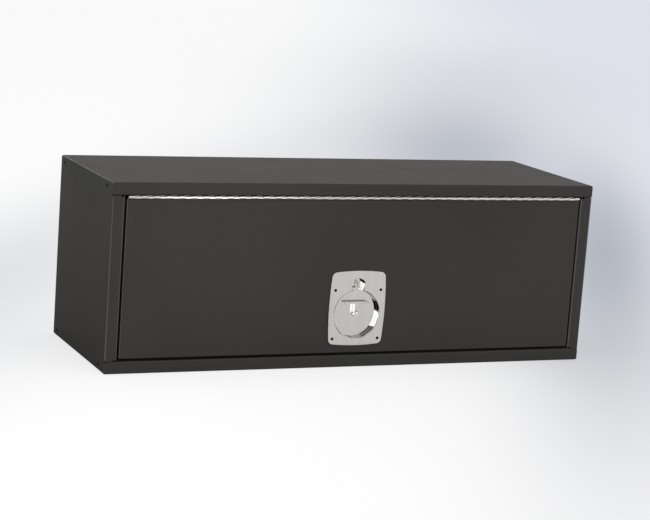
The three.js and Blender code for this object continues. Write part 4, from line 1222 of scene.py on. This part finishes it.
class LOCKER_OT_drive_screws(PieceOperator):
    """Drives the four flush latch screws, each with a hex socket"""

    bl_idname = "locker.drive_screws"
    bl_label = "Drive Screws"

    def execute(self, context):
        black = finish("dark_screw")
        for number in range(1, LATCH_SCREWS + 1):
            node = f"latch_screw_{number}"
            low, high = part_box(node)
            centre = middle_of(node)
            centre.y = PLATE_FRONT
            shape = bmesh.new()
            self.turn_screw(shape, place_at(centre), high.y - low.y)
            name = f"socket_screw_{number}"
            add_piece(name, mesh_of(name, shape), black, "door", (node,))
        return {"FINISHED"}

    def turn_screw(self, shape, place, long):
        """Countersunk head with a hex socket, and a shank with thread ridges."""
        sizes = self.sizes
        head, shank, sheet = sizes.screw_head, sizes.screw_shank, sizes.plate_sheet
        socket, deep = sizes.socket_radius, sizes.socket_depth
        profile = [(0, deep), (socket * 0.8, deep - 0.05 * MM)]
        profile += [(socket, 0.12 * MM), (socket * 1.08, 0)]
        hexed = (1, 2, 3)
        profile += [(head - 0.25 * MM, 0), (head, 0.22 * MM), (shank, sheet)]
        along, pitch = sheet + 0.2 * MM, sizes.screw_pitch
        while along + pitch < long - 0.3 * MM:
            profile += [(shank, along), (shank - sizes.screw_thread, along + pitch / 2)]
            along += pitch
        profile += [(shank, along), (shank - 0.4 * MM, long), (0, long)]

        def socket_shape(index, angle):
            """Six flats for the rings of the socket, round elsewhere."""
            if index not in hexed:
                return 1
            sixth = math.pi / 3
            return math.cos(sixth / 2) / math.cos(angle % sixth - sixth / 2)

        turn_profile(shape, profile, 24, place, ring=socket_shape)


class LOCKER_OT_form_handle(PieceOperator):
    """Forms the T handle: a forked stem with a round grip across its top"""

    bl_idname = "locker.form_handle"
    bl_label = "Form Handle"

    def execute(self, context):
        sizes = self.sizes
        low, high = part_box("t_handle")
        pin_y, pin_z = HANDLE_PIN.y, HANDLE_PIN.z
        front, back = low.y - pin_y, high.y - pin_y
        grip_z = LATCH_CENTRE.z + sizes.grip_rise - pin_z
        stem = bmesh.new()
        self.cut_stem(stem, front, back, grip_z, place_at((0, pin_y, pin_z)))
        grip = bmesh.new()
        half_length, half_depth = sizes.grip_length / 2, sizes.grip_depth / 2
        height = sizes.grip_height
        lower = rounding(sizes.grip_edge)
        layers = lower + [(inset, height - rise) for inset, rise in reversed(lower)]
        outlines = []
        for inset, rise in layers:
            half_size = (half_length - inset, half_depth - inset)
            outlines.append((rounded_outline(*half_size, sizes.grip_end - inset, 8), rise))
        spot = (0, low.y + half_depth, pin_z + grip_z - height)
        stack_outlines(grip, outlines, place_at(spot, ALONG_Z))
        fork = bmesh.new()
        slot_x = (-sizes.fork_half, sizes.fork_half)
        slot_y = (front - 1 * MM, back + 1 * MM)
        slot_z = (-6 * MM, 5 * MM)
        eased_block(fork, slot_x, slot_y, slot_z, 0.4 * MM, place_at((0, pin_y, pin_z)))
        bore = bmesh.new()
        radius, reach = sizes.fork_bore, sizes.stem_width
        profile = [(0, -reach), (radius, -reach), (radius, reach), (0, reach)]
        turn_profile(bore, profile, 24, place_at((0, pin_y, pin_z), ALONG_X))
        mesh = combined(
            "formed_t_handle",
            stem,
            [("UNION", grip), ("DIFFERENCE", fork), ("DIFFERENCE", bore)],
        )
        piece = add_piece(
            "formed_t_handle",
            mesh,
            finish("polished_stainless"),
            "folding_handle",
            ("t_handle",),
            34,
        )
        weigh_normals(piece)
        return {"FINISHED"}

    def cut_stem(self, shape, front, back, grip_z, place):
        """The stem's side outline across its width, with rounded side edges."""
        below = 3 * MM
        start = -math.degrees(math.asin(below / back))
        outline = [(front, -below)]
        outline += arc(0, 0, back, start, 0, 6)
        top = grip_z - 0.5 * self.sizes.grip_height
        outline += [(back, top - self.sizes.grip_height), (0, top), (front, top)]
        middle = (0.5 * (front + back), 0.45 * grip_z)
        half, edge = self.sizes.stem_width / 2, self.sizes.stem_edge
        left = [(-half, edge), (-half + 0.3 * edge, 0.3 * edge), (-half + edge, 0)]
        rows = []
        for x, pull in left + [(-x, pull) for x, pull in reversed(left)]:
            row = []
            for y, z in outline:
                away = Vector((y - middle[0], z - middle[1]))
                shift = Vector((math.copysign(min(pull, abs(away.x)), away.x), 0))
                shift.y = math.copysign(min(pull, abs(away.y)), away.y)
                row.append(shape.verts.new(place @ Vector((x, y - shift.x, z - shift.y))))
            rows.append(row)
        count = len(outline)
        for row, after in zip(rows, rows[1:]):
            for step in range(count):
                beyond = (step + 1) % count
                shape.faces.new((row[step], row[beyond], after[beyond], after[step]))
        shape.faces.new(rows[0])
        shape.faces.new(rows[-1])


class LOCKER_OT_fit_spindle(PieceOperator):
    """Dresses the spindle, its bush, collar, cam, washer, nut and the handle pin"""

    bl_idname = "locker.fit_spindle"
    bl_label = "Fit Spindle"

    def execute(self, context):
        small = self.sizes.small_edge
        for name, slot, edge in (
            ("spindle", "polished_stainless", 0.3 * MM),
            ("handle_pin", "bright_hinge_steel", 0.25 * MM),
            ("spindle_bush", "zinc_steel", 0.2 * MM),
            ("locking_collar", "zinc_steel", small),
            ("cam_arm", "zinc_steel", small),
            ("cam_washer", "zinc_steel", small),
            ("cam_nut", "zinc_steel", 0.5 * MM),
        ):
            dress_node(name, finish(slot), edge)
        return {"FINISHED"}


class LOCKER_OT_fit_lock(PieceOperator):
    """Fits the lock body and its plug with the keyway"""

    bl_idname = "locker.fit_lock"
    bl_label = "Fit Lock"

    def execute(self, context):
        metal = finish("lock_metal")
        place = place_at(LOCK_CENTRE)
        low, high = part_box("lock_body")
        front, end = low.y - LOCK_CENTRE.y, high.y - LOCK_CENTRE.y
        shape = bmesh.new()
        sizes = self.sizes
        bore, flange, barrel = sizes.lock_bore, sizes.lock_flange, sizes.lock_barrel
        step = front + sizes.lock_flange_sheet
        body = [
            (bore, front + 0.3 * MM),
            (bore + 0.3 * MM, front),
            (flange - 0.5 * MM, front),
            (flange - 0.15 * MM, front + 0.15 * MM),
            (flange, front + 0.5 * MM),
            (flange, step),
            (barrel, step),
            (barrel, end - 0.4 * MM),
            (barrel - 0.4 * MM, end),
            (bore, end),
        ]
        turn_profile(shape, body, 64, place, closed=True)
        mesh = mesh_of("turned_lock_body", shape)
        piece = add_piece("turned_lock_body", mesh, metal, "door", ("lock_body",))
        weigh_normals(piece)
        mesh = self.plug_mesh(place, front)
        piece = add_piece(
            "keyed_lock_plug", mesh, metal, "lock_cylinder", ("lock_plug",)
        )
        weigh_normals(piece)
        zinc = finish("zinc_steel")
        dress_node("lock_nut", zinc, sizes.small_edge)
        for name in ("lock_tailpiece", "tailpiece_nut"):
            dress_node(name, zinc, 0.25 * MM)
        return {"FINISHED"}

    def plug_mesh(self, place, flange_front):
        """Plug with a raised face, a chamfer and a keyway."""
        low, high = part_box("lock_plug")
        front, end = low.y - LOCK_CENTRE.y, high.y - LOCK_CENTRE.y
        barrel_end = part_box("lock_body")[1].y - LOCK_CENTRE.y
        face_back = flange_front - 0.3 * MM
        sizes = self.sizes
        face, barrel, tail = sizes.plug_face, sizes.plug_radius, sizes.plug_tail
        plug = bmesh.new()
        profile = [
            (0, front),
            (face - 0.7 * MM, front),
            (face - 0.2 * MM, front + 0.15 * MM),
            (face, front + 0.5 * MM),
            (face, face_back),
            (barrel, face_back),
            (barrel, barrel_end),
            (tail, barrel_end),
            (tail, end - 0.3 * MM),
            (tail - 0.3 * MM, end),
            (0, end),
        ]
        turn_profile(plug, profile, 64, place)
        keyway = bmesh.new()
        across = (-sizes.keyway_half_width, sizes.keyway_half_width)
        along = (front - 1 * MM, front + sizes.keyway_depth)
        upward = (-sizes.keyway_half_height, sizes.keyway_half_height)
        eased_block(keyway, across, along, upward, 0.5 * MM, place)
        return combined("keyed_lock_plug", plug, [("DIFFERENCE", keyway)])


class LOCKER_OT_fit_struts(PieceOperator):
    """Fits the gas struts: crimped cylinder, chromed rod, gland and end eyes"""

    bl_idname = "locker.fit_struts"
    bl_label = "Fit Struts"

    def execute(self, context):
        black, chrome = finish("strut_black"), finish("strut_rod_chrome")
        moulded = finish("strut_plastic")
        for name, _ in SIDES:
            near, long = self.strut_place(name)
            self.turn_cylinder(name, near, long, black)
            self.turn_rod(name, near, chrome)
            far = near @ Matrix.Translation((0, long, 0)) @ Matrix.Rotation(math.pi, 4, "X")
            for end, place in (("rod", near), ("cylinder", far)):
                title = f"moulded_{name}_{end}_eye"
                mesh, node = self.eye_mesh(title, place), f"{name}_strut_{end}_eye"
                add_piece(title, mesh, moulded, f"{name}_{end}", (node,), 40)
            dress_node(f"{name}_strut_gland", moulded, 0.4 * MM)
        return {"FINISHED"}

    def strut_place(self, name):
        """Matrix of a strut's own frame, from the door stud to the body stud, and its length."""
        start = Vector(JOINTS[f"{name}_rod_swing"]["pos_m"])
        direction = Vector(JOINTS[f"{name}_strut_extend"]["axis"]).normalized()
        far = middle_of(f"{name}_strut_body_stud")
        start.x = far.x = middle_of(f"{name}_strut_rod_eye").x
        turn = Vector((0, 1, 0)).rotation_difference(direction).to_matrix().to_4x4()
        return place_at(start, turn), (far - start).length

    def turn_cylinder(self, name, place, long, black):
        """Cylinder with a rolled neck, a crimp ring and a domed closed end."""
        sizes = self.sizes
        radius, bore = sizes.cylinder_radius, sizes.cylinder_radius - sizes.cylinder_wall
        end = long - sizes.eye_reach
        start = end - sizes.cylinder_length
        profile = [
            (bore, start + 0.6 * MM),
            (bore + 0.3 * MM, start),
            (radius - 0.7 * MM, start),
            (radius, start + 0.9 * MM),
            (radius, start + 3.2 * MM),
            (radius - 0.55 * MM, start + 3.8 * MM),
            (radius - 0.55 * MM, start + 5.2 * MM),
            (radius, start + 5.8 * MM),
            (radius, end - 3.4 * MM),
            (radius - 0.5 * MM, end - 1.4 * MM),
            (radius - 1.9 * MM, end - 0.3 * MM),
            (radius - 3.4 * MM, end),
            (0, end),
            (0, end - 3 * MM),
            (bore, end - 3 * MM),
        ]
        shape = bmesh.new()
        turn_profile(shape, profile, 56, place, closed=True)
        title, node = f"crimped_{name}_cylinder", f"{name}_strut_cylinder"
        mesh = mesh_of(title, shape)
        add_piece(title, mesh, black, f"{name}_cylinder", (node,))

    def turn_rod(self, name, place, chrome):
        """Rod with its piston."""
        node = f"{name}_strut_rod"
        low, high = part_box(node)
        inverse = place.inverted()
        corners = [inverse @ Vector((0, y, z)) for y in (low.y, high.y) for z in (low.z, high.z)]
        # A corner of the box reaches this far past the tilted piston's flat end
        piston_end = max(corner.y for corner in corners) - 3.6 * MM
        sizes = self.sizes
        radius, start, chamfer = sizes.rod_radius, sizes.eye_reach, 0.3 * MM
        piston = sizes.cylinder_radius - sizes.cylinder_wall - sizes.piston_play
        piston_start = piston_end - sizes.piston_length
        profile = [
            (0, start),
            (radius - chamfer, start),
            (radius, start + chamfer),
            (radius, piston_start),
            (piston, piston_start),
            (piston, piston_end),
            (0, piston_end),
        ]
        shape = bmesh.new()
        turn_profile(shape, profile, 48, place)
        title = f"chromed_{name}_rod"
        mesh = mesh_of(title, shape)
        add_piece(title, mesh, chrome, f"{name}_rod", (node,))

    def eye_mesh(self, name, place):
        """Flat ring for the stud, a flat web and a round neck."""
        sizes = self.sizes
        across = place @ ALONG_X
        ring = bmesh.new()
        half, radius, soft = sizes.eye_half, sizes.eye_radius, 0.45 * MM
        outline = [
            (0, -half),
            (radius - soft, -half),
            (radius, -half + soft),
            (radius, half - soft),
            (radius - soft, half),
            (0, half),
        ]
        turn_profile(ring, outline, 56, across)
        web = bmesh.new()
        neck_radius = sizes.eye_neck
        web_height = (-neck_radius, neck_radius)
        eased_block(web, (-half, half), (0, 10 * MM), web_height, soft, place)
        neck = bmesh.new()
        start, end = 9 * MM, sizes.eye_reach - sizes.clearance
        body = [
            (0, start),
            (neck_radius - 0.6 * MM, start),
            (neck_radius, start + 0.7 * MM),
            (neck_radius, end - 0.5 * MM),
            (neck_radius - 0.4 * MM, end),
            (0, end),
        ]
        turn_profile(neck, body, 40, place)
        bore = bmesh.new()
        reach, hole = 4 * MM, sizes.eye_bore
        turn_profile(bore, [(0, -reach), (hole, -reach), (hole, reach), (0, reach)], 40, across)
        return combined(name, ring, [("UNION", web), ("UNION", neck), ("DIFFERENCE", bore)])


class LOCKER_OT_fit_brackets(PieceOperator):
    """Dresses the strut brackets and turns their studs"""

    bl_idname = "locker.fit_brackets"
    bl_label = "Fit Brackets"

    def execute(self, context):
        zinc, coat = finish("zinc_steel"), finish("black_powder_coat")
        for name, _ in SIDES:
            for end in ("door", "body"):
                dress_node(f"{name}_strut_{end}_bracket", coat, 0.4 * MM)
                dress_node(f"{name}_strut_{end}_stud", zinc, self.sizes.small_edge)
        return {"FINISHED"}


# Stage

LIGHT_TARGET = (0, 0, 0.2)
CARD_PLANE = -0.57
CARD_HEIGHT = 0.001
BLACK_GLOW = 0.004
GREY_GLOW = 0.5
BACK_GLOW = 6.0

# Black cards on the floor before the latch, as (x, y) outlines. They give its walls their
# dark patches, and leave open what the flat flange and the dish floor mirror.
BLACK_CARDS = (
    ("black floor card", ((-0.11, CARD_PLANE), (0.112, CARD_PLANE), (0.032, -0.4), (-0.11, -0.4))),
    (
        "black step card",
        (
            (-0.15, -0.4),
            (0.03, -0.4),
            (0, -0.315),
            (0.12, -0.315),
            (0.12, -0.19),
            (-0.15, -0.19),
        ),
    ),
    ("black strip card", ((0, CARD_PLANE), (0.112, CARD_PLANE), (0.26, -0.9), (0.12, -0.9))),
    (
        "black corner card",
        ((0.15, -0.19), (0.15, -0.3), (0.2, -0.42), (0.225, -0.5), (0.4, -0.5), (0.4, -0.19)),
    ),
)

# Standing cards that face the latch, as (x, z) of their lower left and upper right corners.
# The ones without a glow take that of the stage settings.
FRONT_CARDS = (
    ("white front card", (-0.24, 0), (-0.085, 0.226), None),
    ("tall front card", (-0.3, 0.226), (-0.15, 0.45), None),
    ("high front card", (-0.15, 0.305), (0.03, 0.45), None),
    ("grey front card", (0.04, 0.125), (0.4, 0.265), GREY_GLOW),
)
BACK_CARD = ((-1.6, 2.3, 1.1), (-0.6, 2.3, 1.9))

# Painted soft cool shadows on the floor and the backdrop, each with its lean, middle, spread and
# depth. Middle and spread are (to the right, to the back).
PAINTED_SHADOWS = (
    (0.58, (0.73, 0.84), (0.23, 1.63), 0.63),
    (0.48, (0.47, 5.17), (0.83, 2.95), 0.2),
    (0.78, (-1.17, -2.68), (0.5, 4.9), 0.5),
    (0.51, (0.33, 2.74), (0.43, 1.57), 0.48),
)
PAINTED_SHADOW_TINT = (0, 0.04, 0.14, 1)
# Painted shade of the floor to the right, near the front.
PAINTED_NEAR_SHADE = (0.755, 0.755, 0.76, 1)
SEEN_FLOOR = 0.777
SEEN_ROOM = (0.86, 0.88, 0.93, 1)
WARM_WHITE = (1, 0.98, 0.95, 1)
WHITE = (1, 1, 1, 1)
DULL_FLOOR = (0.33, 0.33, 0.33, 1)


def leaning(tree, parts, lean):
    """How far to the right a floor point lies, less its share of the way back."""
    share_back = maths(tree, (-1300, -100), "MULTIPLY", parts["Y"], lean)
    return maths(tree, (-1200, 0), "SUBTRACT", parts["X"], share_back)


def painted_shadow_spot(tree, parts, lean, middle, spread, depth):
    """A painted soft shadow on the floor, from 0 to its depth."""
    total = 0.0
    for line, centre, width in (
        (leaning(tree, parts, lean), middle[0], spread[0]),
        (parts["Y"], middle[1], spread[1]),
    ):
        away = maths(tree, (-1000, -300), "SUBTRACT", line, centre)
        away = maths(tree, (-900, -300), "DIVIDE", away, width)
        away = maths(tree, (-800, -300), "MULTIPLY", away, away)
        total = maths(tree, (-700, -300), "ADD", away, total)
    faded = maths(tree, (-600, -300), "MULTIPLY", total, -1.0)
    faded = maths(tree, (-500, -300), "EXPONENT", faded)
    return maths(tree, (-400, -300), "MULTIPLY", faded, depth)


def pick(tree, switch, off, on):
    """One value where the switch is 0 and another where it is 1."""
    gap = maths(tree, (-300, 350), "SUBTRACT", on, off)
    picked = maths(tree, (-200, 350), "MULTIPLY", gap, switch)
    return maths(tree, (-100, 350), "ADD", picked, off)


def mixed_shader(tree, spot, factor, a, b):
    """Mixes two shaders."""
    values = {0: factor, 1: a, 2: b}
    return add_node(tree, "ShaderNodeMixShader", spot, values).outputs[0]


def background(tree, spot, colour, strength):
    """Light of one colour from the world."""
    values = {"Color": colour, "Strength": strength}
    return add_node(tree, "ShaderNodeBackground", spot, values).outputs[0]


def empty_material(name):
    """A material with no nodes yet, and its tree."""
    material = bpy.data.materials.new(name)
    material.use_nodes = True
    material.node_tree.nodes.clear()
    return material, material.node_tree


def stage_object(name, shape, material):
    """Puts a shape in the scene as stage, not as part of the locker."""
    mesh = bpy.data.meshes.new(name)
    shape.to_mesh(mesh)
    shape.free()
    mesh.materials.append(material)
    thing = bpy.data.objects.new(name, mesh)
    bpy.context.scene.collection.objects.link(thing)
    return thing


class LOCKER_OT_set_stage(PieceOperator):
    """Lays the pale floor, hangs the lights and sets up the camera"""

    bl_idname = "locker.set_stage"
    bl_label = "Set Stage"

    def execute(self, context):
        stage = context.scene.locker_stage
        self.lay_floor(stage)
        self.light_room(context.scene, stage)
        self.hang_light("key light", (0.2, -4.2, 1.1), 2.4, stage.key_light)
        self.hang_light("side light", (-4.0, 0.6, 1.4), 2.0, stage.side_light)
        self.hang_light("top light", (0.6, -0.1, 3.4), 2.6, stage.top_light)
        self.set_cards(stage)
        self.place_camera(context.scene)
        context.scene.view_settings.view_transform = "Standard"
        return {"FINISHED"}

    def set_cards(self, stage):
        """The dark and bright cards that the polished latch mirrors."""
        for name, outline in BLACK_CARDS:
            self.set_card(name, [(x, y, CARD_HEIGHT) for x, y in outline], BLACK_GLOW)
        standing = [
            (name, (low[0], CARD_PLANE, low[1]), (high[0], CARD_PLANE, high[1]), glow)
            for name, low, high, glow in FRONT_CARDS
        ]
        for name, low, high, glow in standing + [("back card", *BACK_CARD, BACK_GLOW)]:
            corners = [low, (high[0], high[1], low[2]), high, (low[0], low[1], high[2])]
            self.set_card(name, corners, stage.card_light if glow is None else glow)

    def set_card(self, name, corners, glow):
        """A flat card that only shiny faces see."""
        shape = bmesh.new()
        shape.faces.new([shape.verts.new(corner) for corner in corners])
        material, tree = empty_material(name)
        light = add_node(tree, "ShaderNodeEmission", (0, 0), {"Strength": glow})
        add_node(tree, "ShaderNodeOutputMaterial", (200, 0), {"Surface": light.outputs[0]})
        card = stage_object(name, shape, material)
        card.visible_camera = card.visible_diffuse = card.visible_shadow = False
        card.visible_transmission = False

    def lay_floor(self, stage):
        """A wide round pale floor, with painted shade: a little darker and cooler far behind and to
        the right.
        """
        shape = bmesh.new()
        bmesh.ops.create_circle(shape, cap_ends=True, segments=96, radius=stage.floor_radius)
        material, tree = empty_material("pale floor")
        stage_object("floor", shape, material).location.z = -0.5 * MM
        spot = add_node(tree, "ShaderNodeNewGeometry", (-1600, 0)).outputs["Position"]
        parts = add_node(tree, "ShaderNodeSeparateXYZ", (-1400, 0), {0: spot}).outputs
        aside = leaning(tree, parts, 0.44)
        # Painted falloff of light: white to the left, greyer to the right, and cooler far behind.
        distant = ramp(tree, (-800, 150), parts["Y"], -0.3, 1.6)
        painted_far_shade = mixed(tree, (-600, 150), distant, PAINTED_NEAR_SHADE, rgba(stage.painted_far_shade))
        rightward = ramp(tree, (-600, 50), aside, -0.86, 2.1)
        painted_floor_shade = mixed(tree, (-400, 50), rightward, WHITE, painted_far_shade)
        # Painted soft shadows: cool dark spots laid over the floor by position.
        for settings in PAINTED_SHADOWS:
            painted_shadow = painted_shadow_spot(tree, parts, *settings)
            painted_floor_shade = mixed(tree, (-250, 50), painted_shadow, painted_floor_shade, PAINTED_SHADOW_TINT)
        rays = add_node(tree, "ShaderNodeLightPath", (-400, 500)).outputs
        # What shiny faces see of the floor: pale before the locker, dark close to its front
        near = ramp(tree, (-600, 300), parts["Y"], -0.4, -0.24, 0.45, 0.02)
        beyond = ramp(tree, (-600, 200), parts["Y"], 0.2, 2.4, 0.0, 0.2)
        mirrored = maths(tree, (-400, 300), "ADD", near, beyond)
        glow = pick(tree, rays["Is Camera Ray"], mirrored, SEEN_FLOOR)
        painted_floor_shade = mixed(tree, (-100, 50), rays["Is Camera Ray"], WHITE, painted_floor_shade)
        seen = add_node(tree, "ShaderNodeEmission", (0, 100), {"Color": painted_floor_shade, "Strength": glow})
        lit = add_node(tree, "ShaderNodeBsdfDiffuse", (0, -50), {"Color": DULL_FLOOR})
        both = {0: seen.outputs[0], 1: lit.outputs[0]}
        both = add_node(tree, "ShaderNodeAddShader", (200, 50), both)
        plain = add_node(tree, "ShaderNodeBsdfDiffuse", (0, -200), {"Color": rgba(stage.floor)})
        look = maths(tree, (0, 450), "MAXIMUM", rays["Is Camera Ray"], rays["Is Glossy Ray"])
        look = maths(tree, (150, 400), "MAXIMUM", look, rays["Is Transmission Ray"])
        surface = mixed_shader(tree, (450, 0), look, plain.outputs[0], both.outputs[0])
        add_node(tree, "ShaderNodeOutputMaterial", (700, 0), {"Surface": surface})

    def light_room(self, scene, stage):
        """Even room light, with the pale room seen by the camera and in reflections."""
        world = bpy.data.worlds.new("room")
        scene.world = world
        world.use_nodes = True
        tree = world.node_tree
        tree.nodes.clear()
        rays = add_node(tree, "ShaderNodeLightPath", (-600, 300)).outputs
        camera, through = rays["Is Camera Ray"], rays["Is Transmission Ray"]
        clear = maths(tree, (-400, 250), "MAXIMUM", camera, through)
        spot = add_node(tree, "ShaderNodeTexCoord", (-1000, 0)).outputs["Generated"]
        ways = add_node(tree, "ShaderNodeSeparateXYZ", (-800, 0), {0: spot}).outputs
        # What shiny faces see: a bright ceiling, a window to the right at the front, and a
        # pale room behind
        ceiling = ramp(tree, (-600, 0), ways["Z"], 0.75, 0.95, 0.0, 0.4)
        window = ramp(tree, (-700, 100), ways["X"], 0.2, 0.3, 0.0, 1.8)
        for way, low, high, to_low, to_high in (
            ("Z", 0.28, 0.34, 0.0, 1.0),
            ("Z", 0.6, 0.66, 1.0, 0.0),
            ("Y", -0.5, -0.4, 1.0, 0.0),
        ):
            edge = ramp(tree, (-700, 200), ways[way], low, high, to_low, to_high)
            window = maths(tree, (-500, 100), "MULTIPLY", window, edge)
        above = maths(tree, (-500, 50), "ADD", ceiling, window)
        behind = ramp(tree, (-600, -100), ways["Y"], -0.2, 0.5, 0.0, 0.46)
        level = ramp(tree, (-600, -200), ways["Z"], 0.2, 0.3, 0.02, 0.16)
        around = maths(tree, (-500, -150), "ADD", behind, level)
        wall = maths(tree, (-400, 0), "ADD", above, around)
        pale = background(tree, (-200, 150), SEEN_ROOM, 1.0)
        mirrored = background(tree, (-200, 0), WARM_WHITE, wall)
        light = background(tree, (-200, -150), WHITE, stage.room_light)
        dull = mixed_shader(tree, (50, -50), rays["Is Glossy Ray"], light, mirrored)
        surface = mixed_shader(tree, (250, 50), clear, dull, pale)
        add_node(tree, "ShaderNodeOutputWorld", (450, 0), {"Surface": surface})

    def hang_light(self, name, spot, size, power):
        """A large soft square light that looks at the locker and isn't mirrored."""
        light = bpy.data.lights.new(name, "AREA")
        light.shape = "SQUARE"
        light.size = size
        light.energy = power
        lamp = bpy.data.objects.new(name, light)
        lamp.location = spot
        towards = Vector(LIGHT_TARGET) - Vector(spot)
        lamp.rotation_euler = towards.to_track_quat("-Z", "Y").to_euler()
        lamp.visible_glossy = False
        bpy.context.scene.collection.objects.link(lamp)

    def place_camera(self, scene):
        """The camera at the photograph's viewpoint."""
        data = bpy.data.cameras.new("camera")
        data.sensor_width = CAMERA_SENSOR
        data.lens = CAMERA_LENS
        data.clip_start, data.clip_end = 0.05, 100
        camera = bpy.data.objects.new("camera", data)
        camera.location = CAMERA_SPOT
        camera.rotation_euler = [math.radians(angle) for angle in CAMERA_TURN]
        scene.collection.objects.link(camera)
        scene.camera = camera


STEPS = (
    LOCKER_OT_coat_body,
    LOCKER_OT_dress_seams,
    LOCKER_OT_coat_door,
    LOCKER_OT_lay_seal,
    LOCKER_OT_roll_hinge,
    LOCKER_OT_set_rivets,
    LOCKER_OT_press_latch_plate,
    LOCKER_OT_back_latch,
    LOCKER_OT_drive_screws,
    LOCKER_OT_form_handle,
    LOCKER_OT_fit_spindle,
    LOCKER_OT_fit_lock,
    LOCKER_OT_fit_struts,
    LOCKER_OT_fit_brackets,
    LOCKER_OT_set_stage,
)
GROUPS = (
    ("locker_sizes", LockerSizes),
    ("locker_finishes", LockerFinishes),
    ("locker_stage", LockerStage),
)


class LOCKER_PT_panel(bpy.types.Panel):
    """Lists the steps that dress the locker"""

    bl_idname = "LOCKER_PT_panel"
    bl_label = "Storage Locker"
    bl_space_type = "VIEW_3D"
    bl_region_type = "UI"
    bl_category = "Locker"

    def draw(self, context):
        for step in STEPS:
            self.layout.operator(step.bl_idname)
        for group, _ in GROUPS:
            settings = getattr(context.scene, group)
            box = self.layout.box()
            for name in settings.bl_rna.properties.keys():
                if name not in ("rna_type", "name"):
                    box.prop(settings, name)


def register():
    """Registers the settings, the steps and the panel."""
    for name, group in GROUPS:
        bpy.utils.register_class(group)
        setattr(bpy.types.Scene, name, PointerProperty(type=group))
    for step in STEPS:
        bpy.utils.register_class(step)
    bpy.utils.register_class(LOCKER_PT_panel)


def unregister():
    """Takes back what register added."""
    bpy.utils.unregister_class(LOCKER_PT_panel)
    for step in reversed(STEPS):
        bpy.utils.unregister_class(step)
    for name, group in reversed(GROUPS):
        delattr(bpy.types.Scene, name)
        bpy.utils.unregister_class(group)


def main():
    """Dresses the locker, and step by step."""
    register()
    for step in STEPS:
        section, name = step.bl_idname.split(".")
        getattr(getattr(bpy.ops, section), name)()


if __name__ == "__main__":
    main()
